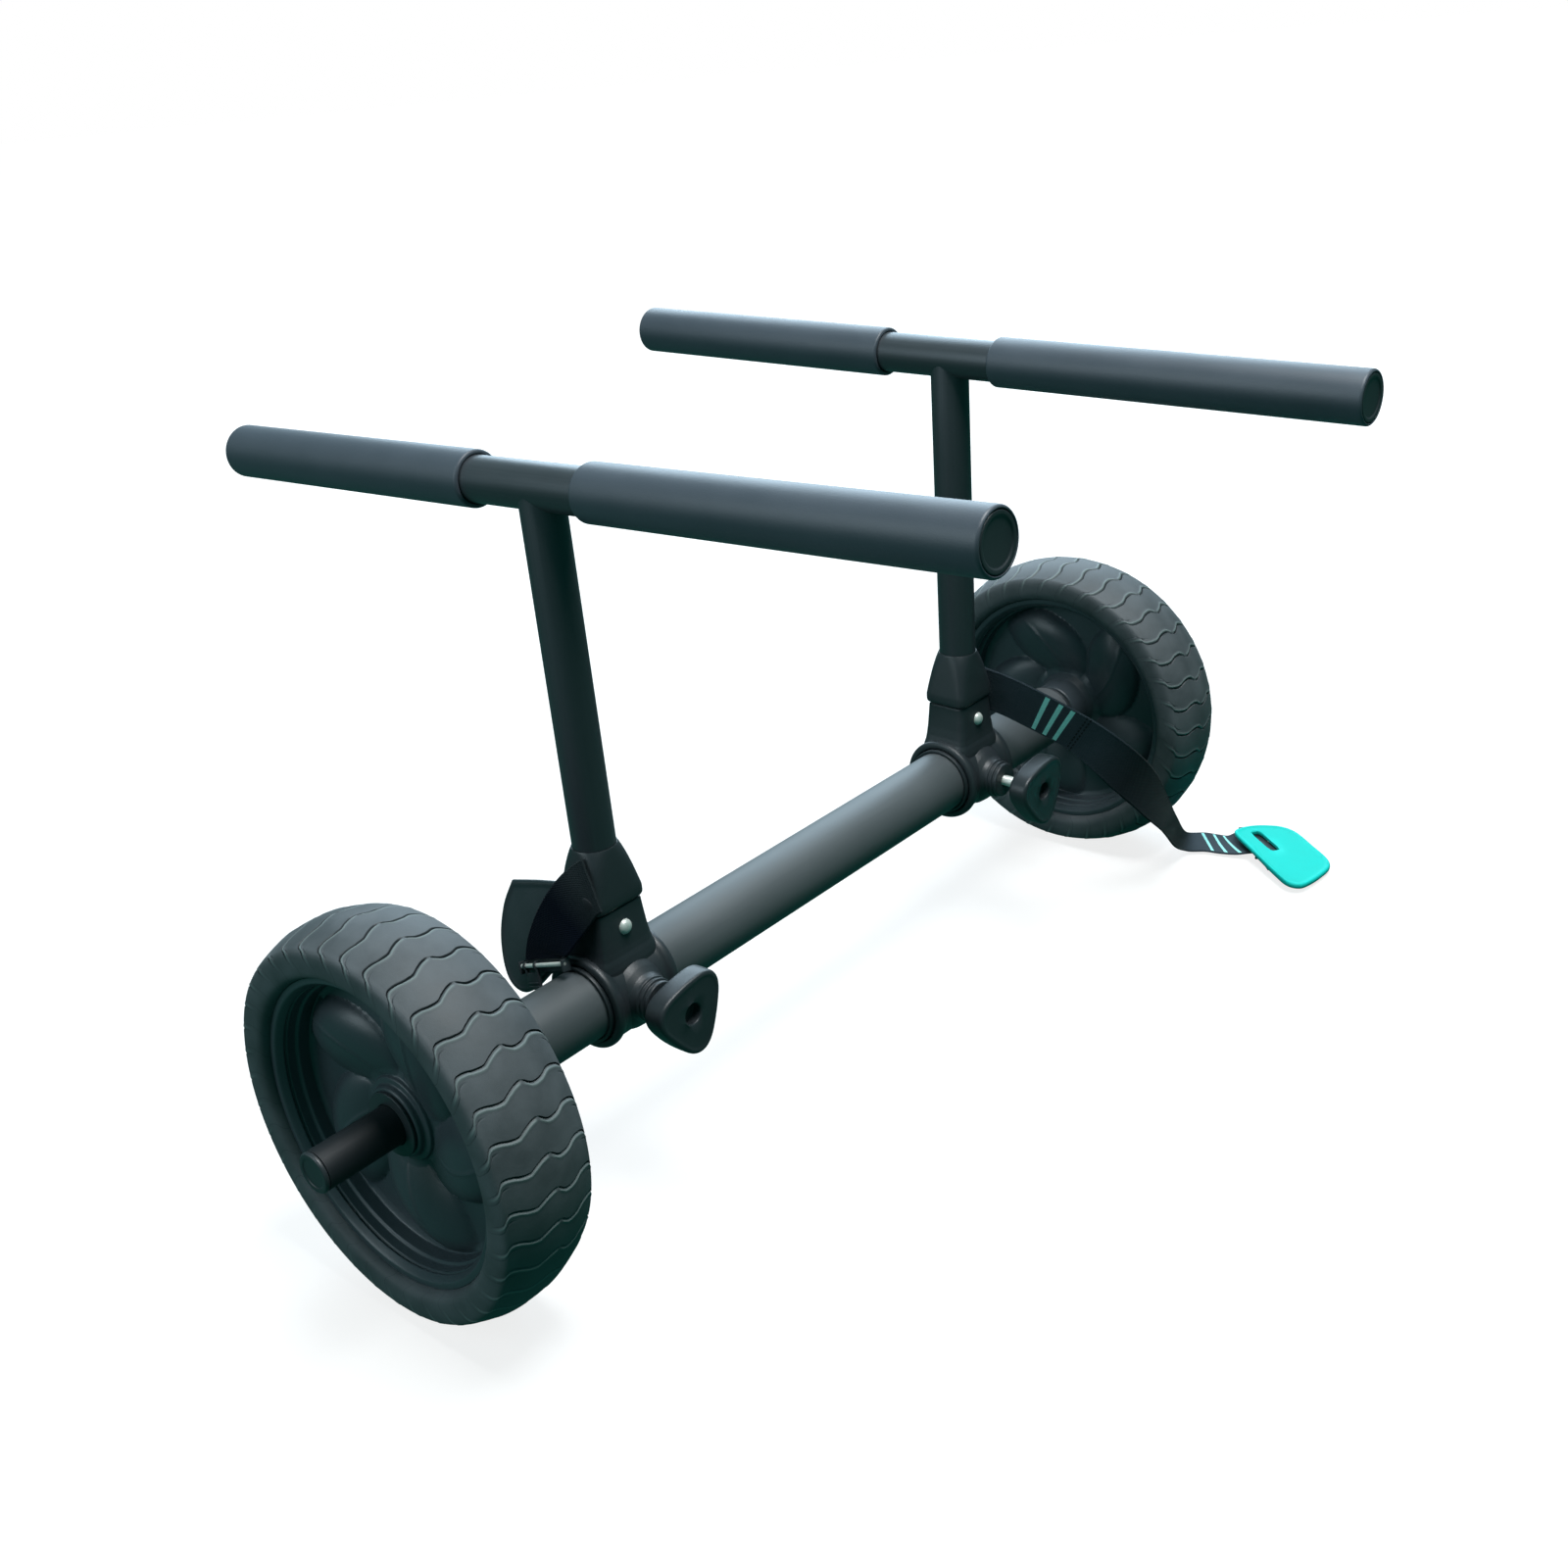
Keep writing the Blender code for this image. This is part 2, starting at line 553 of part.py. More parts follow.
def build_collar(name, axis, finish):
    """Build the liner and the clamp collar with its screw boss and socket."""
    liner = [
        (LINER_RADIUS, LINER_HALF),
        (LINER_RADIUS, -LINER_HALF),
        (LINER_BORE, -LINER_HALF),
        (LINER_BORE, LINER_HALF),
    ]
    turned(f"{name}_liner", liner, finish["plastic"], axis, axis="Y")
    ridge = COLLAR_RADIUS + RIDGE_HEIGHT
    slope = COLLAR_HALF - RIDGE_WIDTH
    barrel = [
        (ridge - 1 * MM, COLLAR_HALF),
        (ridge, COLLAR_HALF - 1 * MM),
        (ridge, slope + 2 * MM),
        (COLLAR_RADIUS, slope),
        (COLLAR_RADIUS, -slope),
        (ridge, -slope - 2 * MM),
        (ridge, -COLLAR_HALF + 1 * MM),
        (ridge - 1 * MM, -COLLAR_HALF),
        (COLLAR_BORE, -COLLAR_HALF),
        (COLLAR_BORE, COLLAR_HALF),
    ]
    collar = turned(f"{name}_collar", barrel, finish["plastic"], axis, axis="Y")
    boss_start = COLLAR_BORE + 1 * MM
    boss = rod(f"{name}_boss", BOSS_RADIUS + 1.5 * MM, BOSS_REACH - boss_start,
               ((BOSS_REACH + boss_start) / 2, 0, 0), "X", parent=axis, top=BOSS_RADIUS)
    socket = box(f"{name}_socket", (-SOCKET_HALF_X, -SOCKET_HALF_Y, COLLAR_BORE - 4 * MM),
                 (SOCKET_HALF_X, SOCKET_HALF_Y, SOCKET_TOP), parent=axis)
    clear_bore = rod(f"{name}_collar_bore", COLLAR_BORE, 2 * LINER_HALF, (0, 0, 0), "Y", parent=axis, sides=ROUND)
    cavity_x = SOCKET_HALF_X - SOCKET_WALL
    cavity_y = SOCKET_HALF_Y - SOCKET_WALL
    cavity = box(f"{name}_cavity", (-cavity_x, -cavity_y, SOCKET_FLOOR),
                 (cavity_x, cavity_y, SOCKET_TOP + 5 * MM), parent=axis)
    screw_hole = rod(f"{name}_screw_hole", STUD_RADIUS + FIT_GAP, BOSS_REACH,
                     (BOSS_REACH, 0, 0), "X", parent=axis)
    snap_hole = rod(f"{name}_snap_hole", SNAP_RADIUS + FIT_GAP, 3 * SOCKET_WALL,
                    (SOCKET_HALF_X, 0, SNAP_HEIGHT), "X", parent=axis)
    join(collar, boss, "UNION")
    join(collar, socket, "UNION")
    for tool in (clear_bore, cavity, screw_hole, snap_hole):
        join(collar, tool, "DIFFERENCE")


def knob_mesh(name):
    """Return the knob's three-lobed body, its axis along +X from the neck's seat."""
    bm = bmesh.new()
    bmesh.ops.create_cone(bm, cap_ends=True, segments=36, radius1=1, radius2=1, depth=KNOB_THICKNESS)
    for vert in bm.verts:
        angle = math.atan2(vert.co.y, vert.co.x)
        radius = KNOB_RADIUS + KNOB_LOBE * math.cos(3 * (angle - KNOB_PHASE))
        vert.co.x = radius * math.cos(angle)
        vert.co.y = radius * math.sin(angle)
    return mesh_from(name, bm)


def build_knob(name, axis, finish):
    """Build the clamp screw: knob, threaded stud and the swivel foot that presses on the liner."""
    out = KNOB_BACKED_OUT[name]
    foot_start = LINER_RADIUS + FIT_GAP + out
    seat = BOSS_REACH + KNOB_STANDOFF + out
    body_start = seat + KNOB_NECK
    body_middle = body_start + KNOB_THICKNESS / 2
    body_end = body_start + KNOB_THICKNESS
    rod(f"{name}_clamp_foot", STUD_RADIUS, FOOT_LENGTH, (foot_start + FOOT_LENGTH / 2, 0, 0), "X",
        finish["plastic"], axis)
    stud_start = foot_start + FOOT_LENGTH + FIT_GAP
    stud_end = body_end - KNOB_RECESS - FIT_GAP
    rod(f"{name}_clamp_stud", STUD_RADIUS, stud_end - stud_start, ((stud_start + stud_end) / 2, 0, 0), "X",
        finish["steel"], axis)
    knob = add_object(f"{name}_knob", knob_mesh(f"{name}_knob"), finish["plastic"], axis,
                      (body_middle, 0, 0), (0, QUARTER, 0))
    bevel(knob, 2 * MM)
    neck = rod(f"{name}_neck", KNOB_NECK_RADIUS, KNOB_NECK + 2 * MM, (seat + KNOB_NECK / 2 + 1 * MM, 0, 0), "X",
               parent=axis, top=KNOB_NECK_RADIUS + 2 * MM)
    stud_bore = rod(f"{name}_knob_bore", STUD_RADIUS + FIT_GAP, KNOB_NECK + KNOB_THICKNESS,
                    (seat + (KNOB_NECK + KNOB_THICKNESS) / 2 - KNOB_RECESS, 0, 0), "X", parent=axis)
    recess = rod(f"{name}_knob_recess", KNOB_RECESS_RADIUS, 2 * KNOB_RECESS, (body_end, 0, 0), "X", parent=axis)
    join(knob, neck, "UNION")
    join(knob, stud_bore, "DIFFERENCE")
    join(knob, recess, "DIFFERENCE")


def rounded_ring(half_x, half_y, power, height, count):
    """Return points of a superellipse ring: power 2 is an ellipse and a high power is a rounded box."""
    ring = []
    for k in range(count):
        angle = 2 * math.pi * (k + 0.5) / count
        c, s = math.cos(angle), math.sin(angle)
        scale = (abs(c) ** power + abs(s) ** power) ** (-1 / power)
        ring.append(Vector((half_x * c * scale, half_y * s * scale, height)))
    return ring


def shoe_mesh(name):
    """Return the shoe: a tongue for the socket, a flare and a round mouth for the upright."""
    tongue_x = SOCKET_HALF_X - SOCKET_WALL - FIT_GAP
    tongue_y = SOCKET_HALF_Y - SOCKET_WALL - FIT_GAP
    seat = SOCKET_TOP + FIT_GAP
    wide_x = SOCKET_HALF_X + SHOE_OVERHANG
    wide_y = SOCKET_HALF_Y + SHOE_OVERHANG
    mouth = UPRIGHT_RADIUS + SHOE_RIM
    rise = SHOE_TOP - SHOE_FLARE
    sections = [
        (tongue_x, tongue_y, 10, SOCKET_FLOOR + FIT_GAP),
        (tongue_x, tongue_y, 10, seat),
        (SOCKET_HALF_X - 0.5 * MM, SOCKET_HALF_Y - 0.5 * MM, 10, seat),
        (wide_x, wide_y, 9, SHOE_FLARE),
        (wide_x, wide_y, 8, SHOE_FLARE + 0.2 * rise),
        (0.65 * wide_x + 0.35 * mouth, 0.65 * wide_y + 0.35 * mouth, 4, SHOE_FLARE + 0.5 * rise),
        (0.25 * wide_x + 0.75 * mouth, 0.25 * wide_y + 0.75 * mouth, 2.6, SHOE_FLARE + 0.8 * rise),
        (mouth, mouth, 2, SHOE_TOP),
    ]
    count = 32
    bm = bmesh.new()
    rings = [[bm.verts.new(p) for p in rounded_ring(*section[:3], section[3], count)] for section in sections]
    for low, high in zip(rings, rings[1:]):
        for k in range(count):
            n = (k + 1) % count
            bm.faces.new((low[k], low[n], high[n], high[k]))
    bm.faces.new(reversed(rings[0]))
    bm.faces.new(rings[-1])
    return mesh_from(name, bm)


def build_upright(name, side, axis, finish):
    """Build the shoe, its snap button and the upright up to the load bar."""
    shoe = add_object(f"{name}_shoe", shoe_mesh(f"{name}_shoe"), finish["plastic"], axis)
    shade_round(shoe)
    well = rod(f"{name}_upright_well", UPRIGHT_RADIUS + FIT_GAP, SHOE_TOP,
               (0, 0, SHOE_FLARE + SHOE_TOP / 2), parent=axis, sides=ROUND)
    snap_end = SOCKET_HALF_X + SNAP_PROUD
    snap_start = snap_end - SNAP_LENGTH
    pocket_start = snap_start - SNAP_TRAVEL - FIT_GAP
    pocket = rod(f"{name}_snap_pocket", SNAP_RADIUS + FIT_GAP, SOCKET_HALF_X - pocket_start,
                 ((SOCKET_HALF_X + pocket_start) / 2, 0, SNAP_HEIGHT), "X", parent=axis)
    strap_face = SOCKET_HALF_Y + SHOE_OVERHANG
    rivet_x, rivet_z = RIVET_SPOT[name]
    rivet_hole = rod(f"{name}_rivet_hole", RIVET_RADIUS + FIT_GAP, 2 * RIVET_DEPTH,
                     (rivet_x, side * strap_face, rivet_z), "Y", parent=axis)
    for tool in (well, pocket, rivet_hole):
        join(shoe, tool, "DIFFERENCE")
    snap = [
        (0, snap_end),
        (SNAP_RADIUS - 2 * MM, snap_end - 0.4 * MM),
        (SNAP_RADIUS - 0.5 * MM, snap_end - 1.2 * MM),
        (SNAP_RADIUS, snap_end - 2.2 * MM),
        (SNAP_RADIUS, snap_start),
        (0, snap_start),
    ]
    turned(f"{name}_snap_button", snap, finish["steel"], axis, axis="X", steps=SMALL_ROUND, closed=False,
           location=(0, 0, SNAP_HEIGHT))
    bore = UPRIGHT_RADIUS - UPRIGHT_WALL
    tube = [
        (UPRIGHT_RADIUS, BAR_HEIGHT),
        (UPRIGHT_RADIUS, SHOE_FLARE + FIT_GAP),
        (bore, SHOE_FLARE + FIT_GAP),
        (bore, BAR_HEIGHT),
    ]
    upright = turned(f"{name}_upright", tube, finish["tube"], axis)
    cope = rod(f"{name}_cope", BAR_RADIUS + FIT_GAP, 4 * UPRIGHT_RADIUS, (0, 0, BAR_HEIGHT), "X",
               parent=axis, sides=ROUND)
    join(upright, cope, "DIFFERENCE")


def pad_profile(inner_end, outer_end):
    """Return a foam sleeve's section between two places along the bar, rounded at its outer end."""
    bore = BAR_RADIUS + FIT_GAP
    plug = BAR_PLUG_RADIUS + FIT_GAP
    lip = outer_end - BAR_PLUG_FLANGE - FIT_GAP
    return [
        (PAD_RADIUS - 0.7 * MM, outer_end),
        (PAD_RADIUS, outer_end - 0.7 * MM),
        (PAD_RADIUS, inner_end + 0.5 * MM),
        (PAD_RADIUS - 0.5 * MM, inner_end),
        (bore, inner_end),
        (bore, lip),
        (plug, lip),
        (plug, outer_end),
    ]


def build_load_bar(name, axis, finish):
    """Build the load bar with its two foam sleeves and end plugs."""
    centre = (0, 0, BAR_HEIGHT)
    front_end = FRONT_PAD[1] - BAR_PLUG_FLANGE - FIT_GAP
    rear_end = REAR_PAD[1] - BAR_PLUG_FLANGE - FIT_GAP
    bore = BAR_RADIUS - BAR_WALL
    bar = [(BAR_RADIUS, front_end), (BAR_RADIUS, -rear_end), (bore, -rear_end), (bore, front_end)]
    turned(f"{name}_load_bar", bar, finish["tube"], axis, axis="X", location=centre)
    stem = bore - FIT_GAP
    for place, (inner_end, outer_end) in (("front", FRONT_PAD), ("rear", REAR_PAD)):
        sleeve = pad_profile(inner_end, outer_end)
        plug = [
            (0, outer_end),
            (BAR_PLUG_RADIUS - 0.6 * MM, outer_end),
            (BAR_PLUG_RADIUS, outer_end - 0.6 * MM),
            (BAR_PLUG_RADIUS, outer_end - BAR_PLUG_FLANGE),
            (stem, outer_end - BAR_PLUG_FLANGE),
            (stem, outer_end - BAR_PLUG_FLANGE - BAR_PLUG_STEM),
            (0, outer_end - BAR_PLUG_FLANGE - BAR_PLUG_STEM),
        ]
        if place == "rear":
            sleeve = flipped(sleeve)
            plug = flipped(plug)
        turned(f"{name}_{place}_sleeve", sleeve, finish["foam"], axis, axis="X", location=centre)
        turned(f"{name}_{place}_plug", plug, finish["plastic"], axis, axis="X", closed=False, location=centre)


def build_rivet(name, side, axis, finish):
    """Build the rivet that holds a strap's end to the outer face of the shoe."""
    face = SOCKET_HALF_Y + SHOE_OVERHANG
    strap_out = NEAR_ROUTE[1][0][1] * MM + STRAP_THICKNESS / 2
    under_head = strap_out + FIT_GAP
    start = face - RIVET_DEPTH + FIT_GAP
    profile = [
        (0, under_head + RIVET_HEAD),
        (RIVET_HEAD_RADIUS - 1.5 * MM, under_head + RIVET_HEAD),
        (RIVET_HEAD_RADIUS, under_head + 0.4 * MM),
        (RIVET_HEAD_RADIUS, under_head),
        (RIVET_RADIUS, under_head),
        (RIVET_RADIUS, start),
        (0, start),
    ]
    if side < 0:
        profile = flipped(profile)
    rivet_x, rivet_z = RIVET_SPOT[name]
    turned(f"{name}_strap_rivet", profile, finish["blacked"], axis, axis="Y", steps=SMALL_ROUND,
           closed=False, location=(rivet_x, 0, rivet_z))


def build_buckle(name, frame, finish):
    """Build a cam buckle: a steel pin and a thumb lever in a frame, its pad's face at height 0."""
    low_v, high_v = -BUCKLE_FRONT, BUCKLE_BACK[name]
    base = FIT_GAP + BUCKLE_BASE
    body = box(f"{name}_buckle_frame", (-BUCKLE_HALF_WIDTH, low_v, FIT_GAP),
               (BUCKLE_HALF_WIDTH + BUCKLE_TAIL[name], high_v, base), finish["plastic"], frame)
    for tag, start in (("left", -BUCKLE_HALF_WIDTH), ("right", BUCKLE_HALF_WIDTH - BUCKLE_CHEEK)):
        cheek = box(f"{name}_{tag}_cheek", (start, low_v, FIT_GAP),
                    (start + BUCKLE_CHEEK, BUCKLE_CHEEK_BACK[name], BUCKLE_DEPTH), parent=frame)
        join(body, cheek, "UNION")
    holes = rod(f"{name}_pin_holes", PIN_RADIUS + FIT_GAP, 3 * BUCKLE_HALF_WIDTH, (0, 0, PIN_HEIGHT), "X",
                parent=frame)
    join(body, holes, "DIFFERENCE")
    rod(f"{name}_buckle_pin", PIN_RADIUS, 2 * BUCKLE_HALF_WIDTH, (0, 0, PIN_HEIGHT), "X", finish["steel"], frame)
    plate_low = PIN_HEIGHT - LEVER_PLATE / 2
    lever = box(f"{name}_cam_lever", (LEVER_SPAN[0], LEVER_REACH[0], plate_low),
                (LEVER_SPAN[1], LEVER_REACH[1], plate_low + LEVER_PLATE), finish["plastic"], frame)
    for tag, start in (("left", LEVER_SPAN[0]), ("right", LEVER_SPAN[1] - LEVER_EAR)):
        eye = rod(f"{name}_{tag}_ear", LEVER_EAR_RADIUS, LEVER_EAR, (start + LEVER_EAR / 2, 0, PIN_HEIGHT), "X",
                  parent=frame)
        arm = box(f"{name}_{tag}_arm", (start, LEVER_REACH[1] - 2 * MM, plate_low - 0.2 * MM),
                  (start + LEVER_EAR, -1 * MM, plate_low + LEVER_PLATE + 0.2 * MM), parent=frame)
        join(lever, eye, "UNION")
        join(lever, arm, "UNION")
    lever_bore = rod(f"{name}_lever_bore", PIN_RADIUS + FIT_GAP, 2 * BUCKLE_HALF_WIDTH, (0, 0, PIN_HEIGHT), "X",
                     parent=frame)
    join(lever, lever_bore, "DIFFERENCE")


def outline_plate(name, points, thickness, material, parent):
    """Add a flat plate from a closed outline of (x, y, corner) points in mm, with rounded edges."""
    edge = 0.8 * MM
    curve = bpy.data.curves.new(name, "CURVE")
    curve.dimensions = "2D"
    curve.fill_mode = "BOTH"
    curve.resolution_u = 3
    curve.extrude = thickness / 2 - edge
    curve.bevel_depth = edge
    curve.bevel_resolution = 0
    curve.offset = -edge
    line = curve.splines.new("BEZIER")
    line.bezier_points.add(len(points) - 1)
    for knot, (x, y, corner) in zip(line.bezier_points, points):
        knot.co = (x * MM, y * MM, 0)
        knot.handle_left_type = knot.handle_right_type = "VECTOR" if corner else "AUTO"
    line.use_cyclic_u = True
    item = bpy.data.objects.new(name, curve)
    PARTS.objects.link(item)
    item.parent = parent
    curve.materials.append(material)
    return item


def as_mesh(item):
    """Replace a curve object by the mesh that it makes, with its caps welded."""
    bpy.context.view_layer.update()
    mesh = bpy.data.meshes.new_from_object(item.evaluated_get(bpy.context.evaluated_depsgraph_get()))
    bm = bmesh.new()
    bm.from_mesh(mesh)
    bmesh.ops.remove_doubles(bm, verts=bm.verts, dist=MERGE)
    bm.to_mesh(mesh)
    bm.free()
    name, parent, place = item.name, item.parent, item.matrix_local.copy()
    bpy.data.objects.remove(item, do_unlink=True)
    mesh.name = name
    result = bpy.data.objects.new(name, mesh)
    PARTS.objects.link(result)
    result.parent = parent
    result.matrix_local = place
    return result


def strap_hole(strap, name, side, parent):
    """Cut the rivet's hole through a strap."""
    x, z = RIVET_SPOT[name]
    spot = (x, side * NEAR_ROUTE[1][0][1] * MM, z)
    hole = rod(f"{name}_strap_hole", RIVET_RADIUS + FIT_GAP, 6 * STRAP_THICKNESS, spot, "Y", parent=parent)
    join(strap, hole, "DIFFERENCE")


def plane_axes(across, normal):
    """Return a turn whose X runs along the given direction within a plane and whose Z is its normal."""
    n = normal.normalized()
    u = (across - n * across.dot(n)).normalized()
    return Matrix((u, n.cross(u), n)).transposed()


def pin_place(end, turn):
    """Return where the buckle's pin meets its pad's face, from the webbing's end point."""
    strap_height = FIT_GAP + BUCKLE_BASE + FIT_GAP + STRAP_THICKNESS / 2
    return end - turn.col[1] * PIN_SET_BACK - turn.col[2] * strap_height


def build_near_strap(axis, finish):
    """Build the near strap on the shoe's outer face, with its buckle and the pad behind that."""
    route = [((x, -out, z), (wx, -w_out, wz)) for (x, out, z), (wx, w_out, wz) in NEAR_ROUTE]
    strap = ribbon("near_strap", route, finish["webbing"])
    strap.parent = axis
    strap_hole(strap, "near", -1, axis)
    turn = plane_axes(-Vector(route[-1][1]), NEAR_PLANE_NORMAL)
    spot = pin_place(Vector(route[-1][0]) * MM, turn)
    frame = add_empty("near_buckle_place", (0, 0, 0))
    frame.parent = axis
    frame.matrix_local = Matrix.Translation(spot) @ turn.to_4x4()
    build_buckle("near", frame, finish)
    face = plane_axes(Vector((1, 0, 0)), NEAR_PLANE_NORMAL)
    foot = Vector((0, spot.dot(face.col[2]) / face.col[2].y, 0))
    place = add_empty("near_pad_place", (0, 0, 0))
    place.parent = axis
    place.matrix_local = Matrix.Translation(foot - face.col[2] * PAD_PLATE / 2) @ face.to_4x4()
    as_mesh(outline_plate("near_pad", NEAR_PAD_OUTLINE, PAD_PLATE, finish["pad"], place))


def build_far_strap(axis, finish):
    """Build the far strap, which hangs to the ground and ends in a buckle under the teal pad."""
    strap = ribbon("far_strap", FAR_ROUTE, finish["webbing"])
    strap.location.x = AXLE_X
    bpy.context.view_layer.update()
    ride(strap, axis)
    strap_hole(strap, "far", 1, axis)
    turn = plane_axes(-Vector(FAR_ROUTE[-1][1]), FAR_PLANE_NORMAL)
    place = pin_place(Vector(FAR_ROUTE[-1][0]) * MM + Vector((AXLE_X, 0, 0)), turn)
    frame = add_empty("far_buckle_place", place, turn)
    face = plane_axes(FAR_SLOT_ALONG, FAR_PLANE_NORMAL)
    n = face.col[2]
    dx, dy = (value * MM for value in FAR_SLOT_MIDDLE)
    slot_middle = place + Vector((dx, dy, -(dx * n.x + dy * n.y) / n.z))
    pad_place = add_empty("far_pad_place", slot_middle - n * PAD_PLATE / 2, face)
    bpy.context.view_layer.update()
    ride(frame, axis)
    ride(pad_place, axis)
    build_buckle("far", frame, finish)
    pad = as_mesh(outline_plate("far_pad", FAR_PAD_OUTLINE, PAD_PLATE, finish["teal"], pad_place))
    half_length, half_width = (size / 2 for size in PAD_SLOT)
    slot = box("far_pad_slot", (-half_length, -half_width, -PAD_PLATE), (half_length, half_width, PAD_PLATE),
               parent=pad_place)
    join(pad, slot, "DIFFERENCE")


def build_support(name, side, finish):
    """Build one clamp-on support on an empty at the axle's axis, turned by its lean."""
    spot = AXLE_POINT + Vector((0, side * SUPPORT_OFFSET, 0))
    axis = add_empty(f"{name}_support_axis", spot, Matrix.Rotation(side * SUPPORT_LEAN, 4, "Y"))
    bpy.context.view_layer.update()
    build_collar(name, axis, finish)
    build_knob(name, axis, finish)
    build_upright(name, side, axis, finish)
    build_load_bar(name, axis, finish)
    build_rivet(name, side, axis, finish)
    if side < 0:
        build_near_strap(axis, finish)
    else:
        build_far_strap(axis, finish)


def main():
    """Build the whole cart."""
    global PARTS, CUTTERS
    clear_scene()
    PARTS = add_collection("paddleboard_cart")
    CUTTERS = add_collection("cutters")
    finish = make_materials()
    build_axle(finish)
    for name, side in SIDES:
        build_wheel(name, side, finish)
        build_support(name, side, finish)
    bpy.context.view_layer.update()


main()
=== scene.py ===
"""Looks of the paddleboard cart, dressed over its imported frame.

The axle lies along Y and the load bars along X, in metres, with the ground at height 0. Shapes are made in
millimetres in local frames, and a Place carries them to the row frame. Turned pieces are profiles of
(radius, height) points that are carried round an axis. Webbing is a strip carried along a route.
"""
import logging
import math
from dataclasses import dataclass, field
from enum import Enum

import bmesh
import bpy
import numpy as np
from mathutils import Matrix


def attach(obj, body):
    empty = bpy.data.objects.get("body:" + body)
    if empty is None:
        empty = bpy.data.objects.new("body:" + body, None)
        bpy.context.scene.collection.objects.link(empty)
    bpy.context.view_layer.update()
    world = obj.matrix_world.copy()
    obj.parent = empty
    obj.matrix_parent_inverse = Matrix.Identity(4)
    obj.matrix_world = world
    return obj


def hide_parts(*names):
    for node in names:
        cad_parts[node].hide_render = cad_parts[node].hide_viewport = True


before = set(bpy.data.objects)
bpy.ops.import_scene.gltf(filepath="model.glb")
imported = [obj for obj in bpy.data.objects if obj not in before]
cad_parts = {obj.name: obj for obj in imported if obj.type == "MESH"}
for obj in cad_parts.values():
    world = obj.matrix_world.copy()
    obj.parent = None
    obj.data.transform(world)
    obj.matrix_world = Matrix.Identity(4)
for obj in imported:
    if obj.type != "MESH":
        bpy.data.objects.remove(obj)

Array = np.ndarray
LOG = logging.getLogger("cart")
MM = 0.001
TAU = 2 * math.pi
WELD = 0.002 * MM
# The air between neighbouring pieces and the height of the load bars over the axle, in millimetres.
GAP = 0.3
BAR_HEIGHT = 315.4
# The axle's middle, and how far the wheels, the supports and the lock buttons stand from it along Y.
AXLE = np.array((-7.25, 0.0, 120.0)) * MM
WHEEL_REACH = 344.8 * MM
SUPPORT_REACH = 185.7 * MM
LOCK_REACH = 362.5 * MM
# How far the far support leans forward and the near one back.
LEAN = math.radians(1.28)
LEVEL = np.eye(3)
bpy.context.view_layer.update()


class Side(Enum):
    """The two sides of the cart. The value is the sign of Y."""

    NEAR = -1
    FAR = 1

    @property
    def tag(self) -> str:
        """Return the side's word in node and body names."""
        return self.name.lower()


class Axis(Enum):
    """The local axis that a turned piece lies on. The value is the roll of (a, b, axis) into (x, y, z)."""

    X = 1
    Y = 2
    Z = 0


@dataclass(frozen=True)
class Place:
    """A local frame in millimetres: its origin, in metres in the row frame, and a turn of its axes."""

    origin: Array
    turn: Array

    def put(self, points: Array) -> Array:
        """Return local points in the row frame, from millimetres to metres."""
        return points * MM @ self.turn.T + self.origin

    def inside(self, origin: tuple[float, float, float], turn: Array) -> "Place":
        """Return a frame that is given in this frame's own millimetres and axes."""
        return Place(self.put(np.array(origin)), self.turn @ turn)


def unit(vector: Array) -> Array:
    """Return vectors scaled to length 1 along their last axis."""
    return vector / np.linalg.norm(vector, axis=-1, keepdims=True)


def wheel_place(side: Side) -> Place:
    """Return the frame at a wheel's middle whose +Z points outwards along the axle.

    Args:
        side: The wheel's side.

    Returns:
        The frame.
    """
    s = side.value
    turn = np.array(((1.0, 0.0, 0.0), (0.0, 0.0, s), (0.0, -s, 0.0)))
    return Place(AXLE + (0, s * WHEEL_REACH, 0), turn)


def support_place(side: Side) -> Place:
    """Return the frame on the axle's axis in the middle of a collar, turned by the support's lean.

    Args:
        side: The support's side.

    Returns:
        The frame.
    """
    c, s = math.cos(LEAN), side.value * math.sin(LEAN)
    turn = np.array(((c, 0.0, s), (0.0, 1.0, 0.0), (-s, 0.0, c)))
    return Place(AXLE + (0, side.value * SUPPORT_REACH, 0), turn)


def plane_turn(across: Array, normal: Array) -> Array:
    """Return a turn whose X runs along a direction within a plane and whose Z is the plane's normal.

    Args:
        across: The direction, which is laid into the plane.
        normal: The plane's normal.

    Returns:
        The turn.
    """
    n = unit(normal)
    u = unit(across - n * (across @ n))
    return np.stack((u, np.cross(n, u), n), axis=1)


# Shapes


@dataclass
class Shell:
    """A grid of points with UV places and tones. On the tyre a tone below 0 paints a highlight and one above
    0 paints shade; on the pads a tone marks the rim colour.
    """

    points: Array
    uv: Array
    tone: Array

    @staticmethod
    def of(points: Array, uv: Array | None = None, tone: Array | float = 0.0) -> "Shell":
        """Make a shell, with UV places from distances along the grid where none are given.

        Args:
            points: Rows by columns by 3.
            uv: Rows by columns by 2, or None.
            tone: One number, or rows by columns.

        Returns:
            The shell.
        """
        if uv is None:
            along = np.linalg.norm(np.diff(points, axis=0), axis=-1).mean(axis=1)
            round_ = np.linalg.norm(np.diff(points, axis=1), axis=-1).max(axis=0)
            v = np.concatenate(([0.0], np.cumsum(along)))
            u = np.concatenate(([0.0], np.cumsum(round_)))
            uv = np.stack(np.meshgrid(u, v), axis=-1)
        return Shell(points, uv, np.broadcast_to(np.asarray(tone, float), points.shape[:2]))

    def moved(self, place: Place) -> "Shell":
        """Return the shell carried from a local frame to the row frame, with its UV places in metres."""
        return Shell(place.put(self.points), self.uv * MM, self.tone)


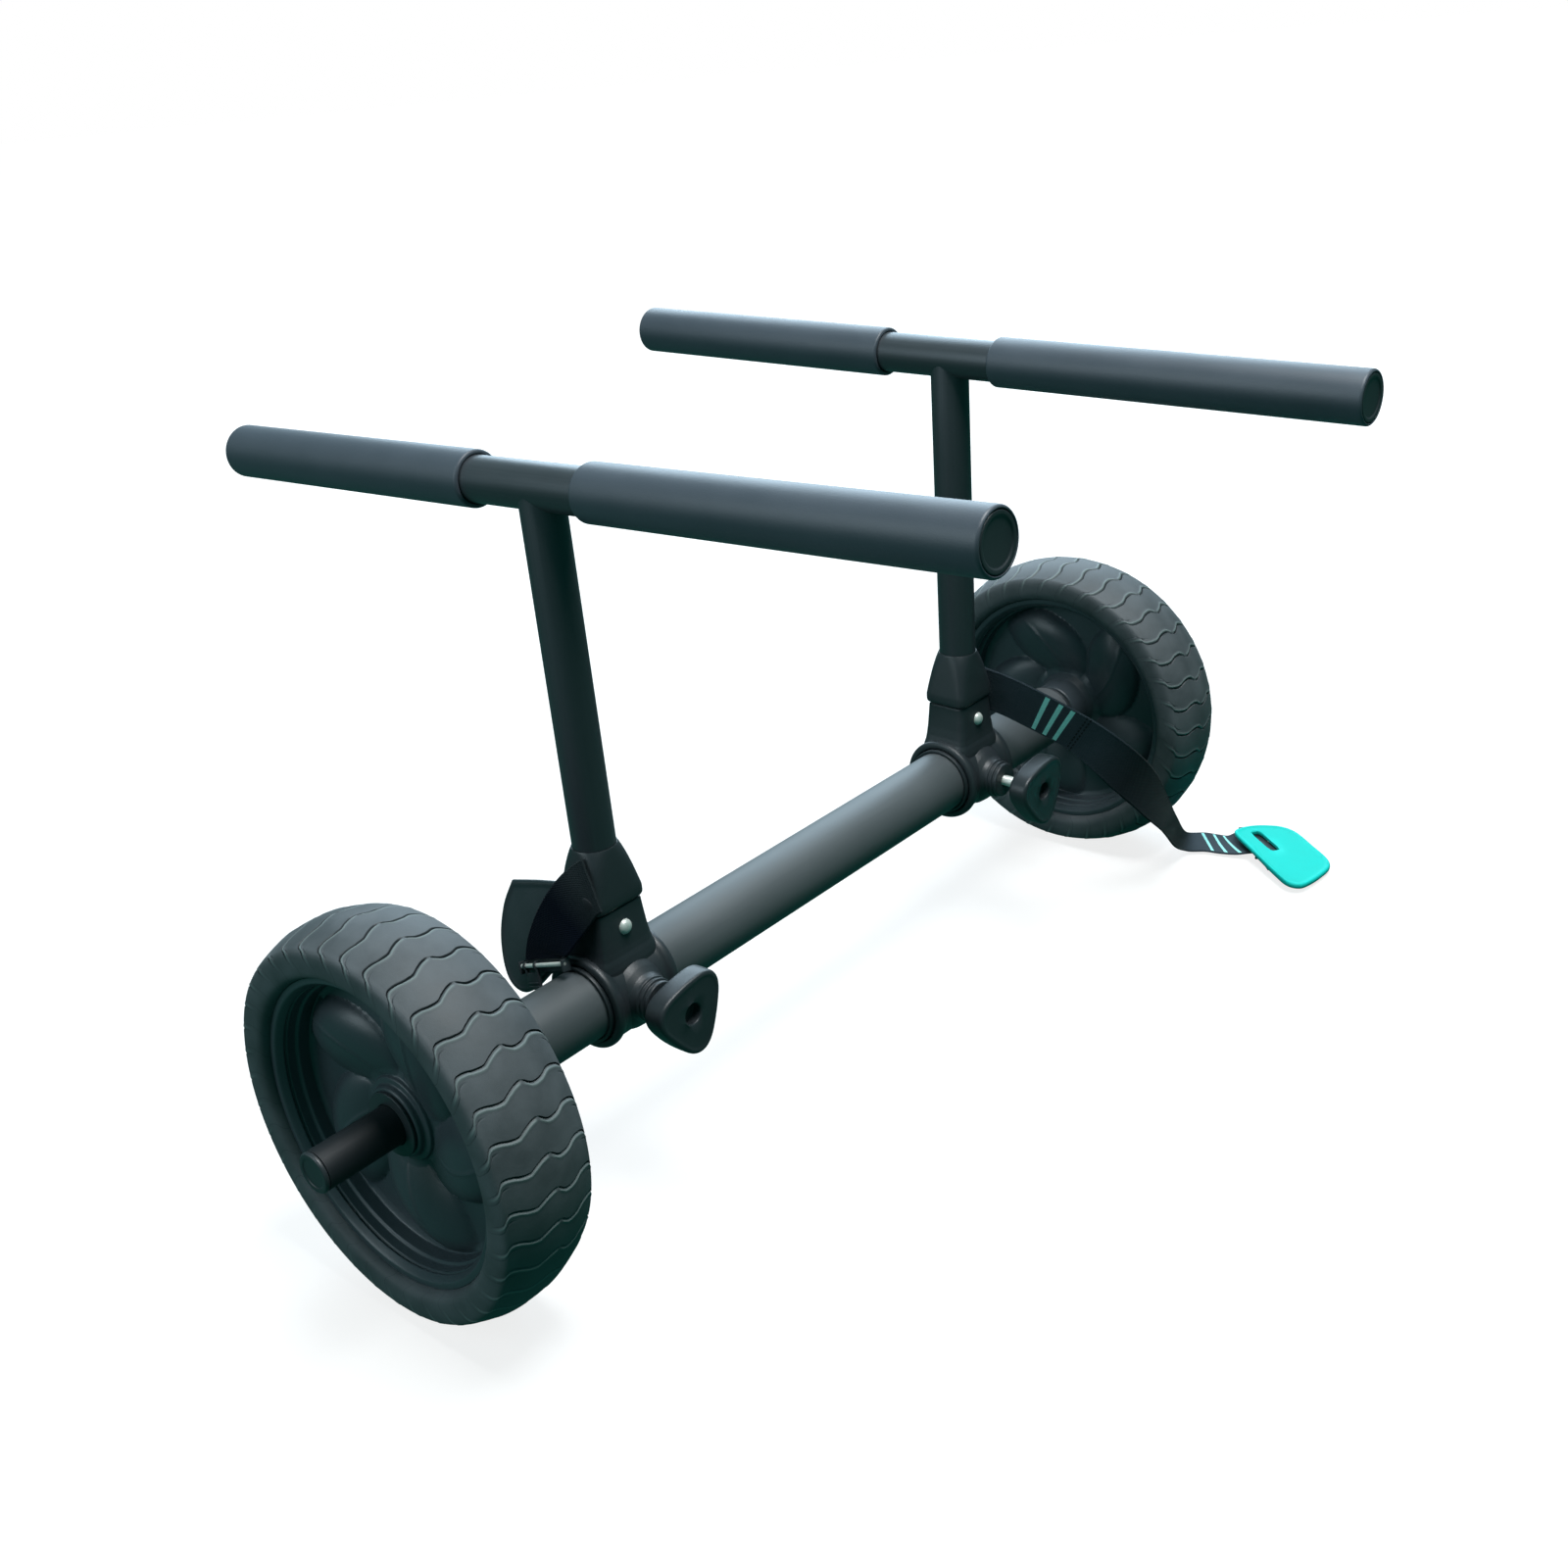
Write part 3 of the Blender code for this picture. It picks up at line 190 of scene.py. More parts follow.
def rounded(profile: list | Array, radius: float, closed: bool, steps: int = 4) -> Array:
    """Round a profile's corners: each corner P becomes (1-t)^2 A + 2t(1-t) P + t^2 B.

    A and B lie on the sides that meet in P, at most the radius and 0.48 of the side away from it.

    Args:
        profile: Corners, one row each.
        radius: How far the rounding reaches from each corner.
        closed: Whether the last corner joins the first.
        steps: Spans for each rounded corner.

    Returns:
        The points of the rounded profile. A closed one ends in its first point.
    """
    p = np.asarray(profile, float)
    before, after = np.roll(p, 1, axis=0) - p, np.roll(p, -1, axis=0) - p
    reach = np.full(len(p), float(radius))
    if not closed:
        reach[[0, -1]] = 0.0
    long_a = np.maximum(np.linalg.norm(before, axis=1), 1e-6)
    long_b = np.maximum(np.linalg.norm(after, axis=1), 1e-6)
    a = p + before * np.minimum(reach / long_a, 0.48)[:, None]
    b = p + after * np.minimum(reach / long_b, 0.48)[:, None]
    t = np.linspace(0, 1, steps + 1)[None, :, None]
    curve = (1 - t) ** 2 * a[:, None] + 2 * t * (1 - t) * p[:, None] + t ** 2 * b[:, None]
    points = curve.reshape(-1, p.shape[1])
    keep = np.concatenate(([True], np.linalg.norm(np.diff(points, axis=0), axis=1) > 1e-4))
    points = points[keep]
    return np.vstack((points, points[:1])) if closed else points


def hollow(outer: float, bore: float, low: float, high: float) -> Array:
    """Return the closed profile of a tube or a ring."""
    return np.array([(outer, high), (outer, low), (bore, low), (bore, high)], float)


def revolve(profile: Array, steps: int = 96, axis: Axis = Axis.Z) -> Shell:
    """Carry a profile round an axis: (r, h) becomes (r cos a, r sin a, h) on the axis's own order.

    Args:
        profile: Points of (radius, height).
        steps: Spans round the axis.
        axis: The axis that the height runs along.

    Returns:
        The turned shell. UV is the distance round by the distance along the profile.
    """
    angle = np.linspace(0, TAU, steps + 1)
    r, h = profile[:, 0:1], profile[:, 1:2]
    points = np.stack((r * np.cos(angle), r * np.sin(angle), h + 0 * angle), axis=-1)
    along = np.concatenate(([0.0], np.cumsum(np.linalg.norm(np.diff(profile, axis=0), axis=1))))
    uv = np.stack(np.meshgrid(angle * profile[:, 0].max(), along), axis=-1)
    return Shell.of(np.roll(points, axis.value, axis=-1), uv)


def turned(
    profile: list | Array, axis: Axis = Axis.Z, closed: bool = True, edge: float = 0.4, steps: int = 96,
) -> Shell:
    """Round a profile's corners and carry it round an axis.

    Args:
        profile: Points of (radius, height).
        axis: The axis that the height runs along.
        closed: Whether the profile's last point joins its first.
        edge: How far the rounding reaches from each corner.
        steps: Spans round the axis.

    Returns:
        The turned shell.
    """
    return revolve(rounded(np.array(profile, float), edge, closed), steps, axis)


def superellipse(rings: Array, steps: int = 128) -> Shell:
    """Stack rings |x/a|^p + |y/b|^p = 1, where a high p is a rounded box.

    Args:
        rings: The half width a, the half depth b, the exponent p and the height of each ring.
        steps: Points round each ring.

    Returns:
        A shell of rings, open at both ends unless its end rings have no size.
    """
    angle = (np.arange(steps + 1) + 0.5) * TAU / steps
    c, s = np.cos(angle)[None], np.sin(angle)[None]
    a, b, p, z = rings.T[..., None]
    scale = (np.abs(c) ** p + np.abs(s) ** p) ** (-1 / p)
    return Shell.of(np.stack((a * c * scale, b * s * scale, z + 0 * c), axis=-1))


def smooth_path(points: Array, steps: int) -> Array:
    """Return Catmull-Rom points through the given ones.

    Each span from b to c, with neighbours a and d, is
    (2b + (c-a)t + (2a-5b+4c-d)t^2 + (3b-a-3c+d)t^3) / 2 for t from 0 to 1.

    Args:
        points: The points to pass through.
        steps: Points for each span.

    Returns:
        The finer points, with both ends.
    """
    q = np.vstack((2 * points[0] - points[1], points, 2 * points[-1] - points[-2]))
    a, b, c, d = (q[k:len(q) - 3 + k, None] for k in range(4))
    t = (np.arange(steps) / steps)[None, :, None]
    square, cube = 2 * a - 5 * b + 4 * c - d, 3 * b - a - 3 * c + d
    curve = (2 * b + (c - a) * t + square * t ** 2 + cube * t ** 3) / 2
    return np.vstack((curve.reshape(-1, points.shape[1]), points[-1:]))


def resample(values: Array, knots: Array, count: int) -> Array:
    """Return rows of values at evenly spaced places between the first and last knot, by straight lines."""
    places = np.linspace(knots[0], knots[-1], count)
    return np.stack([np.interp(places, knots, column) for column in values.T], axis=1)


def arc_length(points: Array) -> Array:
    """Return the distance along a path at each of its points."""
    return np.concatenate(([0.0], np.cumsum(np.linalg.norm(np.diff(points, axis=0), axis=1))))


def block(low: tuple, high: tuple, edge: float, steps: int = 3) -> Shell:
    """Return a block with rounded edges as one shell of rings that closes over both ends.

    A ring's points are a corner's centre and (cos a, sin a) times the edge less the inset at that height.

    Args:
        low: The lowest corner.
        high: The highest corner.
        edge: The radius of the edges.
        steps: Spans in each rounding.

    Returns:
        The shell.
    """
    low, high = np.array((low, high), float)
    half = (high - low) / 2
    t = np.linspace(0, math.pi / 2, steps + 1)
    drop, inset = edge * (1 - np.cos(t)), edge * (1 - np.sin(t))
    z = np.concatenate((drop - half[2], (half[2] - drop)[::-1]))
    inset = np.concatenate((inset, inset[::-1]))
    turn = t + np.arange(4)[:, None] * math.pi / 2
    outward = np.stack((np.cos(turn), np.sin(turn)), axis=-1)
    centre = np.array(((1, 1), (-1, 1), (-1, -1), (1, -1)))[:, None] * (half[:2] - edge) + 0 * outward
    ring = np.concatenate((centre, outward), axis=-1).reshape(-1, 4)
    ring = np.vstack((ring, ring[:1]))
    rows = ring[:, :2] + ring[:, 2:] * (edge - inset)[:, None, None]
    points = np.concatenate((rows, np.broadcast_to(z[:, None, None], rows.shape[:2] + (1,))), axis=-1)
    points = np.concatenate((points[:1] * (0, 0, 1), points, points[-1:] * (0, 0, 1)))
    return Shell.of(points + (low + high) / 2)


def mesh_piece(name: str, shells: list[Shell], sharp: float = 40.0) -> bpy.types.Object:
    """Make one mesh object from shells, weld its seams and poles and turn its faces outwards.

    Args:
        name: The piece's name.
        shells: Grids in the row frame.
        sharp: The angle past which an edge shades sharp, in degrees.

    Returns:
        The new object, at the world's origin.
    """
    points, uvs, tones, quads, count = [], [], [], [], 0
    for shell in shells:
        rows, columns = shell.points.shape[:2]
        index = np.arange(rows * columns).reshape(rows, columns) + count
        corners = (index[:-1, :-1], index[:-1, 1:], index[1:, 1:], index[1:, :-1])
        quads.append(np.stack([corner.ravel() for corner in corners], axis=1))
        points.append(shell.points.reshape(-1, 3))
        uvs.append(shell.uv.reshape(-1, 2))
        tones.append(shell.tone.ravel())
        count += rows * columns
    faces = np.vstack(quads)
    mesh = bpy.data.meshes.new(name)
    mesh.vertices.add(count)
    mesh.vertices.foreach_set("co", np.vstack(points).astype(np.float32).ravel())
    mesh.loops.add(faces.size)
    mesh.loops.foreach_set("vertex_index", faces.ravel().astype(np.int32))
    mesh.polygons.add(len(faces))
    mesh.polygons.foreach_set("loop_start", np.arange(0, faces.size, 4, dtype=np.int32))
    corner_uvs = np.vstack(uvs)[faces.ravel()].astype(np.float32)
    mesh.uv_layers.new(name="cloth").data.foreach_set("uv", corner_uvs.ravel())
    tone = mesh.attributes.new("tone", "FLOAT", "POINT")
    tone.data.foreach_set("value", np.concatenate(tones).astype(np.float32))
    mesh.update()
    bm = bmesh.new()
    bm.from_mesh(mesh)
    bmesh.ops.remove_doubles(bm, verts=bm.verts, dist=WELD)
    bmesh.ops.dissolve_degenerate(bm, edges=bm.edges, dist=WELD / 4)
    bmesh.ops.recalc_face_normals(bm, faces=bm.faces)
    bm.to_mesh(mesh)
    bm.free()
    mesh.shade_smooth()
    mesh.set_sharp_from_angle(angle=math.radians(sharp))
    item = bpy.data.objects.new(name, mesh)
    bpy.context.scene.collection.objects.link(item)
    return item


# Shader maths


class Wire:
    """A shader socket whose arithmetic adds Math nodes."""

    def __init__(self, book: "NodeBook", socket: bpy.types.NodeSocket) -> None:
        """Wrap one output socket of a book's tree."""
        self.book = book
        self.socket = socket

    def math(self, operation: str, *values: "Wire | float", clamp: bool = False) -> "Wire":
        """Return one Math node's result on this socket and further values."""
        inputs = dict(enumerate((self, *values)))
        return self.book.node("ShaderNodeMath", {"operation": operation, "use_clamp": clamp}, inputs)

    def __add__(self, other: "Wire | float") -> "Wire":
        """Return the sum."""
        return self.math("ADD", other)

    __radd__ = __add__

    def __mul__(self, other: "Wire | float") -> "Wire":
        """Return the product."""
        return self.math("MULTIPLY", other)

    __rmul__ = __mul__

    def __sub__(self, other: "Wire | float") -> "Wire":
        """Return the difference."""
        return self.math("SUBTRACT", other)

    def __rsub__(self, other: float) -> "Wire":
        """Return a number less this value."""
        return self * -1.0 + other

    def __lt__(self, other: "Wire | float") -> "Wire":
        """Return 1 where this value is less than the other."""
        return self.math("LESS_THAN", other)

    def __abs__(self) -> "Wire":
        """Return the size without the sign."""
        return self.math("ABSOLUTE")

    def sin(self) -> "Wire":
        """Return the sine of this value."""
        return self.math("SINE")

    def clamped(self) -> "Wire":
        """Return the value held between 0 and 1."""
        return self.math("ADD", 0.0, clamp=True)

    def ramp(self, low: float, high: float, start: float = 0.0, end: float = 1.0) -> "Wire":
        """Return start to end as this value goes from low to high, held at both ends."""
        names = {"From Min": low, "From Max": high, "To Min": start, "To Max": end}
        return self.book.node("ShaderNodeMapRange", {"clamp": True}, {"Value": self, **names})


class NodeBook:
    """The node tree of one new material, with one way to add any node."""

    def __init__(self, name: str) -> None:
        """Make a material with an empty tree but for its output and shader.

        Args:
            name: The material's name.
        """
        self.material = bpy.data.materials.new(name)
        self.material.use_nodes = True
        self.tree = self.material.node_tree
        self.shader = self.tree.nodes["Principled BSDF"]
        self.places = self.node("ShaderNodeTexCoord", {}, {}, output="Object")
        self.uv = self.node("ShaderNodeUVMap", {"uv_map": "cloth"}, {})

    def node(self, kind: str, settings: dict, inputs: dict, output: int | str = 0) -> Wire:
        """Add one node.

        Args:
            kind: The node's type.
            settings: Its properties, which are set first.
            inputs: Values or wires for its sockets, by name or number.
            output: The socket to return.

        Returns:
            The wire from that output.
        """
        node = self.tree.nodes.new(kind)
        for key, value in settings.items():
            setattr(node, key, value)
        for key, value in inputs.items():
            self.feed(node.inputs[key], value)
        return Wire(self, node.outputs[output])

    def feed(self, socket: bpy.types.NodeSocket, value: object) -> None:
        """Link a wire to a socket, or set the socket's own value.

        Args:
            socket: The input socket.
            value: The wire or the value.
        """
        if isinstance(value, Wire):
            self.tree.links.new(value.socket, socket)
        else:
            socket.default_value = value

    def noise(
        self, scale: float, detail: float = 2.0, where: Wire | None = None, stretch: tuple | None = None,
    ) -> Wire:
        """Return noise from 0 to 1.

        Args:
            scale: Cells for each metre.
            detail: Octaves of finer noise.
            where: The coordinates, or None for the object's own.
            stretch: Factors on the coordinates, or None.

        Returns:
            The noise's value.
        """
        places = where or self.places
        if stretch:
            places = self.node("ShaderNodeMapping", {}, {"Vector": places, "Scale": stretch})
        inputs = {"Vector": places, "Scale": scale, "Detail": detail}
        return self.node("ShaderNodeTexNoise", {}, inputs, "Fac")

    def mix(self, factor: Wire | float, first: tuple | Wire, second: tuple | Wire) -> Wire:
        """Return a blend of two colours.

        Args:
            factor: The share of the second colour.
            first: The colour at 0.
            second: The colour at 1.

        Returns:
            The blend.
        """
        node = self.tree.nodes.new("ShaderNodeMix")
        node.data_type = "RGBA"
        colours = [(*c, 1.0) if isinstance(c, tuple) and len(c) == 3 else c for c in (first, second)]
        sockets = [s for s in node.inputs if s.enabled]
        for socket, value in zip(sockets, (factor, *colours)):
            self.feed(socket, value)
        return Wire(self, next(s for s in node.outputs if s.enabled))

    def split(self, places: Wire) -> tuple[Wire, Wire, Wire]:
        """Return the three coordinates of a place.

        Args:
            places: The place to split.

        Returns:
            Its three wires.
        """
        node = self.tree.nodes.new("ShaderNodeSeparateXYZ")
        self.feed(node.inputs[0], places)
        return tuple(Wire(self, out) for out in node.outputs)

    def tone(self) -> Wire:
        """Return the piece's tone."""
        return self.node("ShaderNodeAttribute", {"attribute_name": "tone"}, {}, "Fac")

    def bump(self, height: Wire, distance: float, strength: float, under: Wire | None = None) -> Wire:
        """Return a normal from a height in units of the distance, over another normal where given.

        Args:
            height: The height.
            distance: Its unit, in metres.
            strength: The bump's strength.
            under: The normal beneath, or None.

        Returns:
            The bumped normal.
        """
        inputs = {"Height": height, "Distance": distance, "Strength": strength}
        if under:
            inputs["Normal"] = under
        return self.node("ShaderNodeBump", {}, inputs, "Normal")

    def dress(self, **sockets: object) -> bpy.types.Material:
        """Feed the shader's sockets, named with underscores for spaces, and return the material.

        Args:
            sockets: Values or wires by the sockets' names.

        Returns:
            The material.
        """
        for key, value in sockets.items():
            socket = self.shader.inputs[key.replace("_", " ")]
            if isinstance(value, tuple) and len(value) == 3:
                value = (*value, 1.0)
            self.feed(socket, value)
        return self.material


# Finishes


@dataclass(frozen=True)
class TyreRubber:
    """Dusty moulded rubber with a fine grain, painted shade in the grooves where the tone is above 0 and a
    painted highlight on the lips where it is below.
    """

    name: str = "tyre_rubber"
    land: tuple = (0.046, 0.054, 0.060)
    dust: tuple = (0.108, 0.122, 0.134)
    # The next two colours are painted shade for the grooves and slits and a painted highlight for the
    # grooves' lips.
    deep: tuple = (0.010, 0.013, 0.015)
    lip_highlight: tuple = (0.16, 0.20, 0.20)

    def build(self) -> bpy.types.Material:
        """Return the material.

        Returns:
            The finish's material.
        """
        book = NodeBook(self.name)
        wear = book.noise(45, 6.0).ramp(0.35, 0.7)
        grain = book.noise(2600, 2.0)
        colour = book.mix(wear * 0.5 + grain * 0.25, self.land, self.dust)
        tone = book.tone()
        # By the tone: a painted highlight on the lips, then painted shade in the grooves.
        colour = book.mix((tone * -1.0).clamped(), colour, self.lip_highlight)
        colour = book.mix(tone.clamped(), colour, self.deep)
        rough = (wear * 0.12 + grain * 0.12 + 0.52).clamped()
        normal = book.bump(grain, 0.00012, 0.5, book.bump(book.noise(420, 3.0), 0.0003, 0.25))
        return book.dress(Base_Color=colour, Roughness=rough, Normal=normal, Specular_IOR_Level=0.45)


@dataclass(frozen=True)
class MouldedPlastic:
    """Hard black plastic with a fine spark grain and soft flow marks."""

    name: str
    colour: tuple = (0.016, 0.021, 0.025)
    pale: tuple = (0.034, 0.042, 0.048)
    roughness: float = 0.42
    grain: float = 1500.0

    def build(self) -> bpy.types.Material:
        """Return the material.

        Returns:
            The finish's material.
        """
        book = NodeBook(self.name)
        flow = book.noise(28, 4.0)
        grain = book.noise(self.grain, 3.0)
        colour = book.mix((flow * 0.7 + grain * 0.3).clamped(), self.colour, self.pale)
        rough = (flow * 0.1 + grain * 0.14 + (self.roughness - 0.12)).clamped()
        normal = book.bump(grain, 0.00012, 0.35, book.bump(flow, 0.0012, 0.12))
        return book.dress(Base_Color=colour, Roughness=rough, Normal=normal, Specular_IOR_Level=0.5)


@dataclass(frozen=True)
class AnodisedTube:
    """Black anodised aluminium tube with drawing lines along it, which is along V of its UV map."""

    name: str = "anodised_tube"
    colour: tuple = (0.042, 0.050, 0.058)
    pale: tuple = (0.066, 0.077, 0.088)
    roughness: float = 0.26
    metal: float = 0.35

    def build(self) -> bpy.types.Material:
        """Return the material.

        Returns:
            The finish's material.
        """
        book = NodeBook(self.name)
        lines = book.noise(900, 2.0, book.uv, (1.0, 0.012, 1.0))
        cloud = book.noise(14, 4.0)
        grain = book.noise(2400, 1.0)
        colour = book.mix((lines * 0.5 + cloud * 0.5).clamped(), self.colour, self.pale)
        rough = (lines * 0.14 + cloud * 0.1 + grain * 0.06 + self.roughness).clamped()
        normal = book.bump(lines, 0.00005, 0.25, book.bump(grain, 0.00005, 0.2))
        return book.dress(Base_Color=colour, Roughness=rough, Normal=normal, Metallic=self.metal)


@dataclass(frozen=True)
class BarFoam:
    """Closed foam sleeve with a smooth satin skin, faint pores and shallow handling marks."""

    name: str = "bar_foam"
    colour: tuple = (0.043, 0.054, 0.069)
    pale: tuple = (0.070, 0.086, 0.108)

    def build(self) -> bpy.types.Material:
        """Return the material.

        Returns:
            The finish's material.
        """
        book = NodeBook(self.name)
        pores = book.node("ShaderNodeTexVoronoi", {}, {"Vector": book.places, "Scale": 1100.0}, "Distance")
        cloud = book.noise(22, 5.0)
        grain = book.noise(1700, 2.0)
        colour = book.mix((cloud * 0.75 + grain * 0.25).clamped(), self.colour, self.pale)
        rough = (cloud * 0.12 + grain * 0.08 + 0.38).clamped()
        normal = book.bump(pores, 0.00012, 0.25, book.bump(cloud, 0.002, 0.15))
        return book.dress(Base_Color=colour, Roughness=rough, Normal=normal, Specular_IOR_Level=0.5)


@dataclass(frozen=True)
class PlatedSteel:
    """Plated steel with fine turning marks and small dull patches."""

    name: str
    colour: tuple
    dull: tuple
    roughness: float = 0.3
    metal: float = 0.35

    def build(self) -> bpy.types.Material:
        """Return the material.

        Returns:
            The finish's material.
        """
        book = NodeBook(self.name)
        patch = book.noise(160, 4.0).ramp(0.4, 0.75)
        marks = book.noise(2200, 2.0, book.uv, (0.02, 1.0, 1.0))
        colour = book.mix(patch, self.colour, self.dull)
        rough = (patch * 0.18 + marks * 0.12 + self.roughness).clamped()
        normal = book.bump(marks, 0.00004, 0.3)
        return book.dress(Base_Color=colour, Roughness=rough, Metallic=self.metal, Normal=normal)


@dataclass(frozen=True)
class Webbing:
    """Woven strap: U runs across it from its middle and V along it, both in metres.

    Stripes are crosswise bands, each with its middle's distance along the strap, its slant and its width.
    Stitches are rows across, given by their distance along. The start is painted lighter, fading out up to
    its reach, and painted shade darkens the strap between two distances.
    """

    name: str
    stripes: tuple = ()
    dust_reach: float = 0.0
    dull_part: tuple = ()
    yarn: float = 1.5 * MM
    stitches: tuple = ()
    colour: tuple = (0.018, 0.026, 0.034)
    pale: tuple = (0.042, 0.058, 0.073)
    dust: tuple = (0.020, 0.027, 0.030)
    teal: tuple = (0.36, 0.86, 0.80)
    sheen: float = 0.2

    def build(self) -> bpy.types.Material:
        """Return the material.

        Returns:
            The finish's material.
        """
        book = NodeBook(self.name)
        u, v, _ = book.split(book.uv)
        fuzz = book.noise(2600, 3.0)
        wobble = book.noise(90, 3.0) * 0.4
        across = (u * (TAU / self.yarn)).sin()
        along = (v * (TAU / (self.yarn * 1.35)) + wobble).sin()
        weave = (across * along * 0.5 + 0.5).clamped()
        shade = (weave * 0.55 + fuzz * 0.3 + book.noise(30, 3.0) * 0.25).clamped()
        colour = book.mix(shade, self.colour, self.pale)
        # Painted light: the start is lighter where the strap meets the shoe, fading out up to the reach.
        if self.dust_reach:
            colour = book.mix(v.ramp(0.3 * self.dust_reach, self.dust_reach, 1.0, 0.0), colour, self.dust)
        # Painted shade: a near black band between two distances, where the strap hangs in shadow.
        if self.dull_part:
            start, end = self.dull_part
            dull = v.ramp(start, start + 40 * MM) * v.ramp(end - 25 * MM, end, 1.0, 0.0)
            colour = book.mix(dull * 0.85, colour, (0.002, 0.006, 0.008))
        if self.stripes:
            bands = [abs(v + u * slant - middle) < width / 2 for middle, slant, width in self.stripes]
            edge = abs(u) < 15.2 * MM
            bright = book.mix(shade, tuple(0.7 * c for c in self.teal), self.teal)
            colour = book.mix((sum(bands[1:], bands[0]) * edge).clamped(), colour, bright)
        height = weave
        for middle in self.stitches:
            row = abs(v - middle) < 0.6 * MM
            dash = (u * (TAU / (3.2 * MM))).sin() < 0.5
            height = height - row * dash * 2.0
            colour = book.mix(row * dash, colour, (0.006, 0.008, 0.01))
        normal = book.bump(height, 0.0005, 0.6, book.bump(fuzz, 0.0002, 0.3))
        rough = (fuzz * 0.15 + weave * -0.1 + 0.66).clamped()
        return book.dress(
            Base_Color=colour, Roughness=rough, Normal=normal,
            Sheen_Weight=self.sheen, Specular_IOR_Level=self.sheen,
        )


@dataclass(frozen=True)
class SoftMoulding:
    """Soft moulded rubber with a satin skin, a faint leathery grain and a rim colour where the tone is 1."""

    name: str
    colour: tuple
    pale: tuple
    rim: tuple
    roughness: float = 0.4
    shine: float = 0.5

    def build(self) -> bpy.types.Material:
        """Return the material.

        Returns:
            The finish's material.
        """
        book = NodeBook(self.name)
        cloud = book.noise(60, 5.0)
        grain = book.node("ShaderNodeTexVoronoi", {}, {"Vector": book.places, "Scale": 900.0}, "Distance")
        fine = book.noise(2400, 2.0)
        colour = book.mix((cloud * 0.7 + fine * 0.3).clamped(), self.colour, self.pale)
        colour = book.mix((book.tone() * (cloud * 0.5 + 0.5)).clamped(), colour, self.rim)
        rough = (cloud * 0.12 + fine * 0.08 + (self.roughness - 0.1)).clamped()
        normal = book.bump(grain, 0.00016, 0.3, book.bump(cloud, 0.0009, 0.2))
        return book.dress(Base_Color=colour, Roughness=rough, Normal=normal, Specular_IOR_Level=self.shine)


FAR_STRIPES = tuple(
    (middle * MM, slant, width * MM)
    for slant, width, middles in ((-0.05, 3.6, (68.5, 79.0, 88.5)), (0.27, 2.4, (317.2, 327.2, 337.0)))
    for middle in middles
)


@dataclass
class Workshop:
    """Makes the cart's finishes once and gives each new piece its finish, body and place."""

    finishes: dict = field(default_factory=dict)

    def __post_init__(self) -> None:
        """Build every finish."""
        made = (
            TyreRubber(),
            MouldedPlastic("rim_plastic", (0.030, 0.040, 0.048), (0.056, 0.071, 0.083), 0.40, 1100.0),
            MouldedPlastic("moulded_plastic"),
            AnodisedTube(),
            # A lighter, rougher copy of the anodised tube for the axle: the lighter colour is painted light.
            AnodisedTube("axle_skin", (0.070, 0.081, 0.087), (0.098, 0.111, 0.119), 0.42, 0.1),
            # A near black copy of the anodised tube for the spindles: painted shade.
            AnodisedTube("spindle_tube", (0.004, 0.007, 0.010), (0.010, 0.014, 0.018), 0.50, 0.0),
            BarFoam(),
            PlatedSteel("zinc_steel", (0.90, 0.93, 0.88), (0.70, 0.73, 0.69)),
            PlatedSteel("blacked_steel", (0.010, 0.012, 0.016), (0.006, 0.008, 0.011), 0.5, 0.1),
            # A much darker copy of the webbing for the near strap: painted shade.
            Webbing(
                "near_webbing", dust_reach=30 * MM, colour=(0.001, 0.003, 0.007), pale=(0.003, 0.006, 0.013),
                sheen=0.03,
            ),
            Webbing(
                "far_webbing",
                # Painted shade darkens the far strap between these two distances.
                stripes=FAR_STRIPES, dull_part=(118 * MM, 300 * MM),
                stitches=(100.5 * MM, 103.5 * MM), sheen=0.08,
            ),
            SoftMoulding(
                "teal_rubber", (0.001, 0.47, 0.41), (0.002, 0.54, 0.48), (0.006, 0.58, 0.52), 0.65, 0.2,
            ),
            SoftMoulding("black_rubber", (0.026, 0.034, 0.040), (0.046, 0.057, 0.064), (0.012, 0.018, 0.021)),
        )
        self.finishes = {finish.name: finish.build() for finish in made}

    def make(
        self, name: str, shells: list[Shell], place: Place, body: str, finish: str, slot: str = "",
        sharp: float = 40.0,
    ) -> bpy.types.Object:
        """Make a piece that replaces the CAD node of its name.

        Args:
            name: The node's name. The piece gets the same with _look behind it.
            shells: Its shells in the place's frame.
            place: The frame of the shells.
            body: The body that it rides on.
            finish: The name of its finish.
            slot: Not used.
            sharp: The angle past which an edge shades sharp, in degrees.

        Returns:
            The new piece.
        """
        item = mesh_piece(f"{name}_look", [shell.moved(place) for shell in shells], sharp)
        item.data.materials.append(self.finishes[finish])
        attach(item, body)
        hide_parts(name)
        slot or finish
        LOG.info("%s: %d faces in %s", item.name, len(item.data.polygons), finish)
        return item


# The cart


@dataclass
class SidePart:
    """A sub-assembly on one side whose pieces share a place and a body unless they say otherwise."""

    shop: Workshop
    side: Side

    def place(self) -> Place:
        """Return the place that the pieces share."""
        return support_place(self.side)

    def body(self) -> str:
        """Return the word of the body that the pieces share."""
        return "support"

    def make(
        self, name: str, shells: list[Shell], finish: str, body: str = "", place: Place | None = None,
        slot: str = "", sharp: float = 40.0,
    ) -> bpy.types.Object:
        """Make a piece on this side.

        Args:
            name: The node's name without its side.
            shells: Its shells in the place's frame.
            finish: The name of its finish.
            body: The word of its body, where it isn't the shared one.
            place: The frame of the shells, where it isn't the shared one.
            slot: The material slot, where it isn't the finish's name.
            sharp: The angle past which an edge shades sharp, in degrees.

        Returns:
            The new piece.
        """
        tag = self.side.tag
        place, body = place or self.place(), f"{tag}_{body or self.body()}"
        return self.shop.make(f"{tag}_{name}", shells, place, body, finish, slot, sharp)


